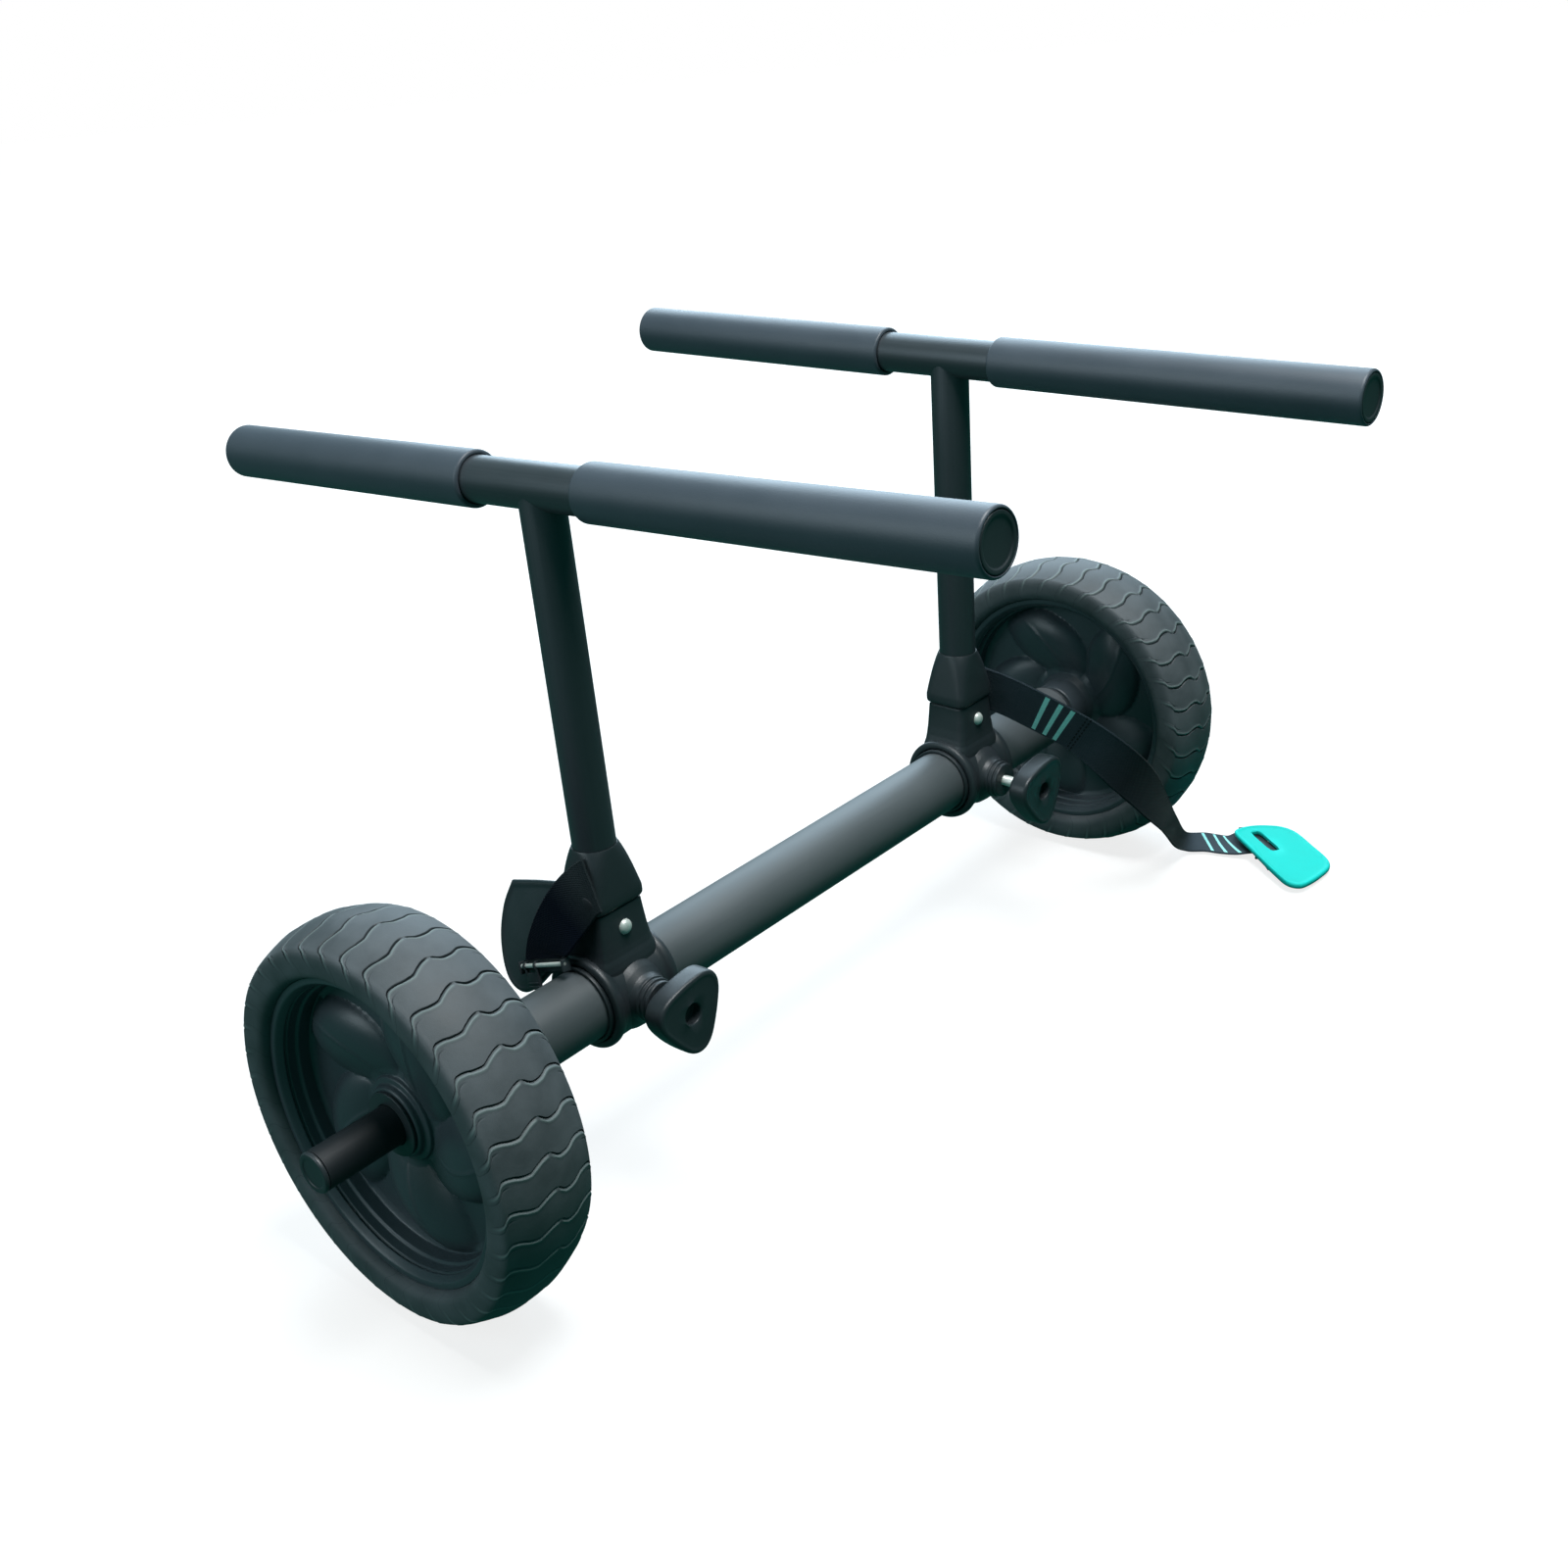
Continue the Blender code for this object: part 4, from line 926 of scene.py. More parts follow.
@dataclass
class Wheel(SidePart):
    """One airless wheel: a tyre with wavy grooves across its tread, and a dished rim with swept petals.

    The wave's knots are heights on the tread with the grooves' shift there, as a share of their pitch. The
    columns are the grid's places round the tyre for one groove, in millimetres from its bottom, as are the
    slit's and the lip's spots.
    """

    radius: float = 120
    half: float = 31
    crown: float = 6.7
    seat: float = 94
    hub: float = 22
    hub_face: float = 11.2
    hub_inner: float = 28.8
    bore: float = 16
    grooves: int = 37
    groove_depth: float = 1.6
    groove_slope: float = 2.4
    groove_fall: float = 0.5
    slit_depth: float = 0.45
    slit_spot: float = -5.2
    slit_half: float = 0.45
    slit_from: float = 24
    lip_height: float = 0.35
    lip_spot: float = -1.9
    lip_half: float = 0.8
    bush_bore: float = 12
    bush_flange: float = 19.5
    bush_thick: float = 1.9
    bush_depth: float = 12
    petals: int = 5
    petal_start: float = 26
    petal_reach: float = 57
    petal_root: float = 7
    petal_spread: float = 25
    petal_height: float = 10.5
    ridge_height: float = 0.9
    ridge_half: float = 1.1
    sweep: float = 0.55
    web_height: float = 3
    web_rows: int = 44
    spans: int = 336
    front_phase: float = math.radians(137)
    back_phase: float = math.radians(-110)
    wave: tuple = (
        (40, -0.32), (31, -0.30), (28.5, -0.07), (26, 0.02), (22, 0.0), (18, -0.07), (13, -0.10),
        (10, -0.03), (7.5, 0.03), (4.5, 0.09), (1, 0.12), (-1.9, 0.07), (-5, -0.05), (-8, -0.09),
        (-13, -0.07), (-17.5, 0.02), (-21, 0.03), (-25, -0.02), (-28.5, -0.12), (-31, -0.30), (-40, -0.32),
    )
    columns: tuple = (
        -10.1, -8.6, -7.2, -6.1, -5.65, -5.2, -4.75, -4.2, -3.3, -2.5, -2.0, -1.5, -1.1, -0.7,
        -0.35, 0, 0.25, 0.5, 0.7, 1.3, 2.4, 3.8, 5.4, 7.0, 8.6,
    )

    def place(self) -> Place:
        """Return the wheel's own place."""
        return wheel_place(self.side)

    def body(self) -> str:
        """Return the wheel's own body."""
        return "wheel"

    def tyre(self) -> None:
        """Build the tyre: its section carried round, less grooves that run across it in a wave.

        The columns of the grid follow the grooves: at height h they lie at angle 2 pi (n + shift(h)) / count,
        where the shift comes from the wave's knots. A groove falls steeply on one side and rises slowly on
        the other, with a raised lip on its slope. Short slits lie between the grooves near both shoulders.
        """
        shoulder = self.radius - self.crown
        flank = [
            (self.seat, self.half - 6), (self.seat + 1.2, self.half - 3.2),
            (self.seat + 3.5, self.half - 0.9), (self.seat + 8, self.half - 0.1),
            (shoulder - 4.5, self.half - 0.1), (shoulder - 1.2, self.half - 1.4),
        ]
        tread_half = self.half - 3.6
        width = np.linspace(1, -1, 59)
        tread = np.stack((self.radius - self.crown * np.abs(width) ** 2.2, tread_half * width), axis=1)
        upper = smooth_path(np.array(flank + [tuple(tread[0])]), 2)[:-1]
        lower = (upper * (1, -1))[::-1]
        profile = np.vstack((upper, tread, lower, upper[:1]))
        wave = smooth_path(np.array(self.wave), 6)[::-1]
        h = profile[:, 1:2]
        shift = np.interp(h, wave[:, 0], wave[:, 1]) - 0.3 * np.clip((shoulder - profile[:, 0:1]) / 12, 0, 1)
        offset = np.array(self.columns)
        pitch = TAU * self.radius / self.grooves
        turn = (np.arange(self.grooves)[:, None] + offset / pitch).ravel()
        turn = np.append(turn, self.grooves + offset[0] / pitch)
        angle = (turn[None] + shift) * TAU / self.grooves
        off = np.append(np.tile(offset, self.grooves), offset[0])[None]
        on_tread = np.clip((profile[:, 0:1] - shoulder + 10) / 7, 0, 1)
        middle = 1 - np.exp(-(((h + 0.5) / 1.3) ** 2))
        slope = np.clip(1 + off / self.groove_slope, 0, 1) ** 2.2
        groove = np.where(off < 0, slope, np.clip(1 - off / self.groove_fall, 0, 1))
        cut = groove * on_tread * middle
        slit = np.clip(1 - np.abs(off - self.slit_spot) / self.slit_half, 0, 1)
        slit = slit * np.clip((np.abs(h) - self.slit_from) / 3, 0, 1)
        lip = np.exp(-(((off - self.lip_spot) / self.lip_half) ** 2)) * on_tread * middle
        radius = profile[:, 0:1] - self.groove_depth * cut - self.slit_depth * slit * on_tread
        radius = radius + self.lip_height * lip
        points = np.stack((radius * np.cos(angle), radius * np.sin(angle), h + 0 * angle), axis=-1)
        # The tone paints shade into the grooves and slits and a highlight onto the lips.
        shade = np.clip(1 - np.abs(off) / 0.55, 0, 1) * on_tread * middle
        shell = Shell.of(points, tone=np.clip(shade + 0.5 * slit, 0, 1) - 0.8 * lip * (shade < 0.2))
        self.make("tyre", [shell], "tyre_rubber", sharp=70)

    def petal_lift(self, radius: Array, angle: Array, sweep: float) -> Array:
        """Return the petals' height over the web.

        Each petal is a broad leaf about a swept middle line. At x half widths from that line its height is
        that of a dome, (1 - x^2)^0.7, times a swell from hub to barrel, with a thin ridge on the line.

        Args:
            radius: Distances from the axis.
            angle: Angles round the axis.
            sweep: How far the middle line turns from the hub to the barrel, in radians.

        Returns:
            Heights in millimetres.
        """
        s = np.clip((radius - self.petal_start) / self.petal_reach, 0, 1)
        middle = sweep * (s - 0.6)
        pitch = TAU / self.petals
        x = ((angle - middle + pitch / 2) % pitch - pitch / 2) * radius
        half = self.petal_root + self.petal_spread * np.sin(math.pi * np.clip(s * 0.82 + 0.06, 0, 1)) ** 0.9
        dome = np.clip(1 - (x / half) ** 2, 0, 1) ** 0.7
        swell = np.sin(math.pi * s ** 1.3) ** 0.55
        ridge = np.exp(-((x / self.ridge_half) ** 2))
        return (self.petal_height * dome + self.ridge_height * ridge * (dome > 0)) * swell

    def rim(self) -> None:
        """Build the rim: stepped flanges, a deep barrel and a web that carries the petals on both faces."""
        seat, edge = self.seat - GAP, self.half - 6 - GAP
        barrel, web_height, soft = seat - 7, self.web_height, 0.9
        outer = np.array([
            (self.bore, self.hub_face), (self.hub - 1.6, self.hub_face),
            (self.hub - 0.6, self.hub_face - 1), (self.hub, 7.5), (self.hub + 3.4, 7),
            (self.hub + 4, 4.6), (self.hub + 8, web_height),
        ])
        rise = np.array([
            (barrel - 6, web_height), (barrel - 2.4, 5), (barrel - 2, 12.4),
            (barrel - 0.3, 13.2), (barrel + 0.2, 18.6), (barrel + 1.4, 18.9),
            (barrel + 1.3, 19.9), (barrel + 0.4, 20.2), (seat - 4.2, edge - 1),
            (seat - 3.2, edge), (seat, edge),
        ])
        web = np.linspace((self.hub + 9, web_height), (barrel - 7, web_height), self.web_rows)
        rise, outer = rounded(rise, soft, False), rounded(outer, soft, False)
        inner_hub = np.array([
            (self.hub + 8, web_height), (self.hub + 3, 6), (self.hub, 12),
            (self.hub - 1, self.hub_inner - 1), (self.hub - 2, self.hub_inner),
            (self.bore, self.hub_inner),
        ])
        front = np.vstack((outer, web, rise))
        back = np.vstack((rounded(inner_hub, soft, False)[::-1], web, rise))
        angle = np.linspace(0, TAU, self.spans + 1)[None]
        shells = []
        for profile, sign, phase in ((front, 1, self.front_phase), (back, -1, self.back_phase)):
            r, h = profile[:, 0:1], profile[:, 1:2]
            on_web = (r > self.hub + 4) & (r < barrel - 1.8) & (h < 13)
            lift = self.petal_lift(r, angle - phase, self.sweep * sign) * on_web
            points = np.stack((r * np.cos(angle), r * np.sin(angle), sign * (h + lift)), axis=-1)
            shells.append(Shell.of(points))
        for radius, top, bottom in ((self.bore, self.hub_face, -self.hub_inner), (seat, edge, -edge)):
            shells.append(revolve(np.array([(radius, top), (radius, bottom)]), self.spans))
        self.make("rim", shells, "rim_plastic", sharp=35)

    def bushes(self) -> None:
        """Build the flanged bush at each end of the hub."""
        bore, sleeve, flange = self.bush_bore + GAP, self.bore - GAP, self.bush_flange
        for word, face, sign in (("outer", self.hub_face, 1), ("inner", self.hub_inner, -1)):
            low, top, end = face + GAP, face + GAP + self.bush_thick, face + GAP - self.bush_depth
            profile = [
                (flange, sign * top), (flange, sign * low), (sleeve, sign * low),
                (sleeve, sign * end), (bore, sign * end), (bore, sign * top),
            ]
            self.make(f"{word}_bush", [turned(profile, edge=0.6)], "moulded_plastic")

    def build(self) -> None:
        """Build the whole wheel."""
        self.tyre()
        self.rim()
        self.bushes()


@dataclass
class Axle:
    """The axle tube with the plug, washer, spindle, cap and lock button at each end."""

    shop: Workshop
    tube: float = 22.5
    wall: float = 2
    half: float = 309
    spindle: float = 12
    cap_face: float = 65.1
    cap_thick: float = 2.6
    setback: float = 35.8
    plug_flange: float = 1.7
    plug_depth: float = 46
    washer: float = 19
    washer_thick: float = 2

    def end(self, side: Side) -> None:
        """Build one end, in the wheel's frame.

        Args:
            side: The side of that end.
        """
        place, tag = wheel_place(side), side.tag
        bore = self.spindle + GAP
        flange = GAP - self.setback
        face = flange + self.plug_flange
        start = flange - self.plug_depth
        inner = self.tube - self.wall - GAP
        plug = [
            (self.tube, face), (self.tube, flange), (inner, flange),
            (inner, start), (bore, start), (bore, face),
        ]
        washer = hollow(self.washer, bore, face + GAP, face + GAP + self.washer_thick)
        low = self.cap_face - self.cap_thick
        bore = self.spindle - 2
        spindle = hollow(self.spindle, bore, start, low - GAP)
        cap = [
            (0, self.cap_face - 0.7), (8.4, self.cap_face - 0.7), (9.0, self.cap_face - 0.1),
            (11.2, self.cap_face), (self.spindle, self.cap_face - 0.9), (self.spindle, low),
            (bore - GAP, low), (bore - GAP, low - 9), (0, low - 9),
        ]
        for name, shell, finish, slot in (
            ("axle_plug", turned(plug), "moulded_plastic", ""),
            ("thrust_washer", turned(washer), "zinc_steel", ""),
            # The spindle's finish is a darker copy of the tube: painted shade.
            ("spindle", turned(spindle), "spindle_tube", "anodised_tube"),
            ("spindle_cap", turned(cap, closed=False, edge=0.5), "moulded_plastic", ""),
        ):
            self.shop.make(f"{tag}_{name}", [shell], place, "axle", finish, slot)

    def lock_button(self, side: Side) -> None:
        """Build the domed button behind and below a spindle, outside the wheel's bush.

        Args:
            side: The side of that spindle.
        """
        s = math.sqrt(0.5)
        turn = np.array(((-s, 0.0, -s), (0.0, 1.0, 0.0), (s, 0.0, -s)))
        place = Place(AXLE + (0, side.value * LOCK_REACH, 0), turn)
        top, foot = 15.2, 6.5
        profile = [
            (0, top), (2.2, top - 0.25), (3.4, top - 1), (4, top - 2.2), (4, foot + 1.4),
            (5.2, foot + 1.4), (5.2, foot), (0, foot),
        ]
        shell = turned(profile, closed=False, edge=0.8, steps=48)
        self.shop.make(f"{side.tag}_lock_button", [shell], place, f"{side.tag}_lock", "zinc_steel")

    def build(self) -> None:
        """Build the tube and both ends."""
        tube = hollow(self.tube, self.tube - self.wall, -self.half, self.half)
        shell = turned(tube, Axis.Y, steps=144)
        # The axle's finish is a lighter copy of the tube: painted light.
        self.shop.make("axle_tube", [shell], Place(AXLE, LEVEL), "axle", "axle_skin", "anodised_tube")
        for side in Side:
            self.end(side)
            self.lock_button(side)


@dataclass
class ClampCollar(SidePart):
    """One clamp collar on its split liner, with the screw's boss and the tapered socket for the shoe."""

    bore: float = 25.3
    radius: float = 28.3
    half: float = 26.7
    ridge: float = 2.2
    liner: float = 25
    liner_bore: float = 22.8
    liner_half: float = 29

    def build(self) -> None:
        """Build the liner and the collar."""
        liner = hollow(self.liner, self.liner_bore, -self.liner_half, self.liner_half)
        self.make("liner", [turned(liner, Axis.Y, edge=0.7)], "moulded_plastic", "liner_ring")
        top = self.radius + self.ridge
        barrel = np.array([
            (self.bore, self.half), (top - 1.6, self.half), (top, self.half - 1.4), (top, self.half - 5),
            (self.radius, self.half - 8.4), (self.radius, -self.half + 8.4), (top, -self.half + 5),
            (top, -self.half + 1.4), (top - 1.6, -self.half), (self.bore, -self.half),
        ])
        shells = [turned(barrel, Axis.Y, edge=1.8, steps=144)]
        shells += [self.outside_bore(shell) for shell in (self.boss(), self.socket())]
        self.make("collar", shells, "moulded_plastic", sharp=34)

    def outside_bore(self, shell: Shell) -> Shell:
        """Push the points inside the bore out from its axis into the wall.

        Args:
            shell: A shell in the collar's frame.

        Returns:
            The shell outside the bore.
        """
        x, z = shell.points[..., 0], shell.points[..., 2]
        push = np.maximum(1, (self.bore + 1) / np.maximum(np.hypot(x, z), 1e-3))
        scale = np.stack((push, np.ones_like(push), push), axis=-1)
        return Shell(shell.points * scale, shell.uv, shell.tone)

    def boss(self) -> Shell:
        """Return the screw's boss: a cone along +X with a wide foot, two grooves and a blind hole.

        Returns:
            The boss in the collar's frame.
        """
        profile = [
            (0, 19), (8, 19), (16, 19),
            (23, 19), (19, 24.5), (15.6, 28), (14.3, 31), (14.2, 32.8),
            (12.9, 33.1), (12.9, 34.3), (13.8, 34.6), (13.7, 36.2),
            (12.2, 36.5), (12.2, 37.6), (12.9, 37.9), (12.5, 40),
            (4.6, 40), (4.4, 30), (0, 30),
        ]
        return turned(profile, Axis.X, False, 0.7, 72)

    def socket(self) -> Shell:
        """Return the socket: rounded-box rings that flare into the barrel, a lip on top and a hollow.

        Returns:
            The socket in the collar's frame.
        """
        z = np.array([14, 14, 22, 26, 29, 33, 40, 50, 56.6, 57.6, 58, 58, 57, 40, 33, 33])
        a = np.array([0, 21, 20.5, 19.6, 18.6, 17.9, 17.2, 16.5, 16.1, 15.8, 15.2, 12.6, 12.2, 12.1, 12, 0])
        b = np.array([0, 25.5, 24.5, 23.3, 22, 21, 20, 19.1, 18.6, 18.3, 17.7, 15.1, 14.7, 14.6, 14.5, 0])
        p = np.array([5, 5, 6, 7, 8, 9, 9, 9, 9, 9, 9, 9, 9, 9, 9, 9])
        return superellipse(resample(np.stack((a, b, p, z), axis=1), np.arange(len(z)), 106))


@dataclass
class ClampScrew(SidePart):
    """The clamp screw: swivel foot, plated stud and a fat three-lobed knob with a deep recess."""

    radius: float = 24.2
    lobe: float = 3.3
    thick: float = 15
    phase: float = math.radians(10)
    stud_radius: float = 4
    pitch: float = 1.25
    thread: float = 0.35
    backed_out: float = 8.5
    liner: float = 25
    foot_radius: float = 4
    foot_thick: float = 3
    boss_end: float = 44
    neck_length: float = 8
    recess: float = 7

    def build(self) -> None:
        """Build the foot, the stud and the knob."""
        out = self.backed_out if self.side is Side.FAR else 0.0
        foot = self.liner + GAP + out
        top = foot + self.foot_thick
        seat = self.boss_end + out
        body = seat + self.neck_length
        end = body + self.thick
        profile = [(0, foot), (self.foot_radius, foot), (self.foot_radius, top), (0, top)]
        self.make("clamp_foot", [turned(profile, Axis.X, False, steps=40)], "moulded_plastic")
        stud = self.stud(top + GAP, end - self.recess - GAP)
        self.make("clamp_stud", [stud], "zinc_steel", "screw", sharp=70)
        self.make("knob", [self.knob(body, end), self.neck(seat, body)], "moulded_plastic", "screw", sharp=50)

    def stud(self, start: float, stop: float) -> Shell:
        """Return the stud: its radius less the thread's depth times a saw wave of x / pitch + a / 2 pi.

        Args:
            start: Its inner end's x.
            stop: Its outer end's x.

        Returns:
            The stud.
        """
        x = np.linspace(start, stop, 220)[:, None]
        angle = np.linspace(0, TAU, 49)[None]
        wave = np.abs(((x / self.pitch + angle / TAU) % 1.0) - 0.5) * 2
        radius = self.stud_radius - self.thread * wave
        radius[[0, -1]] = 0.0
        return Shell.of(np.stack((x + 0 * angle, radius * np.cos(angle), radius * np.sin(angle)), axis=-1))

    def knob(self, start: float, stop: float) -> Shell:
        """Return the knob: r = R + L cos 3(a - phase) + 0.4 cos 6(a - phase), round rims and a recess.

        Args:
            start: Its inner face's x.
            stop: Its outer face's x.

        Returns:
            The knob.
        """
        angle = np.linspace(0, TAU, 145)[None]
        swung = angle - self.phase
        shape = self.radius + self.lobe * np.cos(3 * swung) + 0.4 * np.cos(6 * swung)
        skin = rounded([
            (-9, 0.5), (-2.4, 0), (-0.5, 0.7), (0.2, 2.2), (0.3, 7.5),
            (0.2, self.thick - 2), (-0.5, self.thick - 0.6), (-2.4, self.thick),
            (-4, self.thick - 0.5), (-13, self.thick - 0.8),
        ], 0.8, False)
        outer = shape + skin[:, 0:1]
        recess = rounded([
            (7.6, stop - 0.4), (6.5, stop - 1.2), (6.2, stop - self.recess), (0, stop - self.recess),
        ], 0.5, False)
        inner = np.broadcast_to(recess[:, 0:1], (len(recess), angle.shape[1]))
        radius = np.vstack((0 * angle, outer, inner))
        x = np.concatenate(([start + 0.5], start + skin[:, 1], recess[:, 1]))[:, None] + 0 * angle
        return Shell.of(np.stack((x, radius * np.sin(angle), -radius * np.cos(angle)), axis=-1))

    def neck(self, seat: float, body: float) -> Shell:
        """Return the knob's neck: a waisted cone with a shallow hollow in its end.

        Args:
            seat: The end's x, at the boss.
            body: The knob's inner face's x.

        Returns:
            The neck.
        """
        profile = [
            (0, seat + 1.5), (5.2, seat + 1.5), (5.6, seat), (10.4, seat), (10.9, seat + 0.7),
            (10.6, seat + 3.2), (11.4, seat + 5.6), (15, body + 0.2), (15.5, body + 2),
            (0, body + 2),
        ]
        return turned(profile, Axis.X, False, 0.8, 72)


@dataclass
class Upright(SidePart):
    """The flared shoe with its snap button, and the upright tube up to the load bar."""

    foot: float = 62
    top: float = 98
    radius: float = 13.4
    wall: float = 1.6
    button_tip: float = 20
    button_height: float = 45

    def build(self) -> None:
        """Build the shoe, the button and the tube."""
        self.make("shoe", [self.shoe()], "moulded_plastic", sharp=34)
        dome = [(0, 0), (2, -0.2), (3.6, -1), (4.7, -2.4), (5, -3.6), (5, -15), (0, -15)]
        button = turned(np.array(dome) + (0, self.button_tip), Axis.X, False, 1.2, 48)
        place = self.place().inside((0, 0, self.button_height), LEVEL)
        self.make("snap_button", [button], "zinc_steel", "snap", place)
        tube = hollow(self.radius, self.radius - self.wall, self.foot + GAP, BAR_HEIGHT - 2)
        self.make("upright", [turned(tube)], "anodised_tube")

    def shoe(self) -> Shell:
        """Return the shoe: box rings that draw in to a round mouth, with a stepped foot and a round lip.

        Returns:
            The shoe in the collar's frame.
        """
        wide_x, wide_y, mouth = 17.5, 20, self.radius + 0.8
        share = np.linspace(0, 1, 28)
        ease = np.clip((share - 0.1) / 0.9, 0, 1) ** 1.08
        z = self.foot + share * (self.top - 1.5 - self.foot)
        a, b = wide_x + (mouth - wide_x) * ease, wide_y + (mouth - wide_y) * ease
        p = 9 - 7 * ease ** 0.7
        foot = np.array([
            (0, 0, 9, 33.6), (11.6, 14.1, 9, 33.6), (11.7, 14.2, 9, 34.4), (11.7, 14.2, 9, 58.3),
            (15.4, 17.8, 9, 58.3), (16.8, 19.3, 9, 59.3), (17.4, 19.9, 9, 60.6),
        ])
        lip = self.radius + GAP
        rim = np.array([
            (mouth - 0.2, mouth - 0.2, 2, self.top - 1.2), (lip, lip, 2, self.top - 1.2),
            (lip, lip, 2, self.foot + 2), (0, 0, 2, self.foot + 2),
        ])
        return superellipse(np.vstack((foot, np.stack((a, b, p, z), axis=1), rim)))


@dataclass
class LoadBar(SidePart):
    """A load bar with a foam sleeve and an end plug on each arm."""

    radius: float = 13.9
    wall: float = 1.5
    sleeve: float = 17
    plug: float = 15.1
    plug_face: float = 2.4
    plug_depth: float = 16.4
    front: tuple = (41, 302.5)
    rear: tuple = (52.5, 288)

    def place(self) -> Place:
        """Return the place on the bar's axis over the axle."""
        return support_place(self.side).inside((0, 0, BAR_HEIGHT), LEVEL)

    def build(self) -> None:
        """Build the bar, then each arm's sleeve and plug."""
        bore, cut = self.radius - self.wall, self.plug_face + GAP
        bar = hollow(self.radius, bore, cut - self.rear[1], self.front[1] - cut)
        self.make("load_bar", [turned(bar, Axis.X)], "anodised_tube")
        for word, (inner, outer), sign in (("front", self.front, 1), ("rear", self.rear, -1)):
            lip, plug, end = outer - 2.7, self.plug, outer - self.plug_depth
            profile = np.array([
                (self.sleeve - 0.9, outer), (self.sleeve, outer - 1.1), (self.sleeve, inner + 1),
                (self.sleeve - 1, inner), (self.radius + GAP, inner), (self.radius + GAP, lip), (plug, lip),
                (plug, outer),
            ]) * (1, sign)
            self.make(f"{word}_sleeve", [turned(profile, Axis.X, edge=0.9)], "bar_foam")
            stem = bore - GAP
            cap = np.array([
                (0, outer - 0.9), (11.6, outer - 0.9), (12.4, outer - 0.1), (14.3, outer),
                (14.8, outer - 0.7), (14.8, outer - self.plug_face), (stem, outer - self.plug_face),
                (stem, end), (0, end),
            ]) * (1, sign)
            self.make(f"{word}_plug", [turned(cap, Axis.X, False)], "moulded_plastic")


@dataclass
class Strap:
    """A flat strap along a route in a place's own millimetres. Its points, length and width are given in
    metres.
    """

    place: Place
    route: Array
    across: Array
    wide: float = 34
    thick: float = 1.8

    @staticmethod
    def along(stations: list, place: Place, steps: int = 14) -> "Strap":
        """Return a strap through stations, with finer steps between them.

        Args:
            stations: Pairs of a point and a direction across.
            place: The frame of the stations.
            steps: Points for each span.

        Returns:
            The strap.
        """
        points, across = (np.array(column, float) for column in zip(*stations))
        return Strap(place, smooth_path(points, steps), unit(smooth_path(unit(across), steps)))

    @property
    def points(self) -> Array:
        """Return the route in the row frame, in metres."""
        return self.place.put(self.route)

    @property
    def length(self) -> float:
        """Return the length along the middle, in metres."""
        return float(arc_length(self.points)[-1])

    @property
    def width(self) -> float:
        """Return the width in metres."""
        return self.wide * MM

    def shell(self) -> Shell:
        """Return the webbing: a flat section with round edges and a slightly thicker selvedge, carried along.

        The section's points are (w/2) x across the strap and (t/2) y on its normal, for an outline of (x, y).

        Returns:
            The webbing in the place's frame.
        """
        tangent = unit(np.gradient(self.route, axis=0))
        normal = unit(np.cross(tangent, self.across))
        x = np.linspace(-1, 1, 37)
        edge = np.sqrt(np.clip(1 - ((np.abs(x) - 0.965) / 0.035).clip(0, 1) ** 2, 0, 1))
        body = 0.86 + 0.14 * np.exp(-((np.abs(x) - 0.93) / 0.03) ** 2)
        top = np.stack((x, edge * body), axis=1)
        ring = np.vstack((top, (top * (1, -1))[::-1][1:]))
        offset = ring[:, 0] * self.wide / 2
        points = (
            self.route[:, None] + self.across[:, None] * offset[None, :, None]
            + normal[:, None] * (ring[:, 1] * self.thick / 2)[None, :, None]
        )
        uv = np.stack(np.meshgrid(offset, arc_length(self.route)), axis=-1)
        points = np.concatenate((points[:1] * 0 + self.route[0], points, points[-1:] * 0 + self.route[-1]))
        uv = np.concatenate((uv[:1], uv, uv[-1:]))
        return Shell.of(points, uv)


@dataclass
class Buckle(SidePart):
    """A cam buckle: a channel frame, a plated pin and a ribbed thumb lever.

    Its frame runs from the front to the back, and its cheeks to their own back. A buckle with a tail has a
    longer base and a tongue that shows in its pad's slot.
    """

    seat: Place
    front: float
    back: float
    cheek_back: float
    tail: float
    half: float = 21
    depth: float = 6.9
    pin_height: float = 4.7
    base: float = 1.8
    cheek: float = 1.6

    def place(self) -> Place:
        """Return the buckle's own place, on its pad's face."""
        return self.seat

    def build(self) -> list[bpy.types.Object]:
        """Build the frame, the pin and the lever.

        Returns:
            The three pieces.
        """
        shells = [block((-self.half, self.front, GAP), (self.half + self.tail, self.back, self.base), 0.5)]
        for start in (-self.half, self.half - self.cheek):
            end = (start + self.cheek, self.cheek_back, self.depth)
            shells.append(block((start, self.front, GAP), end, 0.55))
        if self.tail:
            shells.append(block((4, -8.5, GAP), (self.half + 12, self.front + 1, self.base), 0.5))
        pin = [(0, -self.half), (1.4, -self.half), (1.4, self.half), (0, self.half)]
        pin_place = self.seat.inside((0, 0, self.pin_height), LEVEL)
        return [
            self.make("buckle_frame", shells, "moulded_plastic"),
            self.make("buckle_pin", [turned(pin, Axis.X, False, steps=32)], "zinc_steel", place=pin_place),
            self.make("cam_lever", self.lever(), "moulded_plastic", "cam"),
        ]

    def lever(self) -> list[Shell]:
        """Return the lever: a thumb plate with two grip ribs, and an eye and an arm on each side.

        Returns:
            The lever's shells.
        """
        left, right, z, wall = -16.6, -5, self.pin_height, self.cheek
        shells = [block((left, -15, z - 1), (right, -4.4, z + 1), 0.45)]
        for y in (-13.6, -11.4):
            shells.append(block((left + 1, y, z + 0.4), (right - 1, y + 1.1, z + 1.5), 0.4))
        for start in (left, right - wall):
            shells.append(block((start, -6.4, z - 1.2), (start + wall, -1, z + 1.2), 0.4))
            eye = turned(hollow(2.6, 1.7, start + wall, start), Axis.X, edge=0.3, steps=32)
            shells.append(Shell.of(eye.points + (0, 0, z)))
        return shells


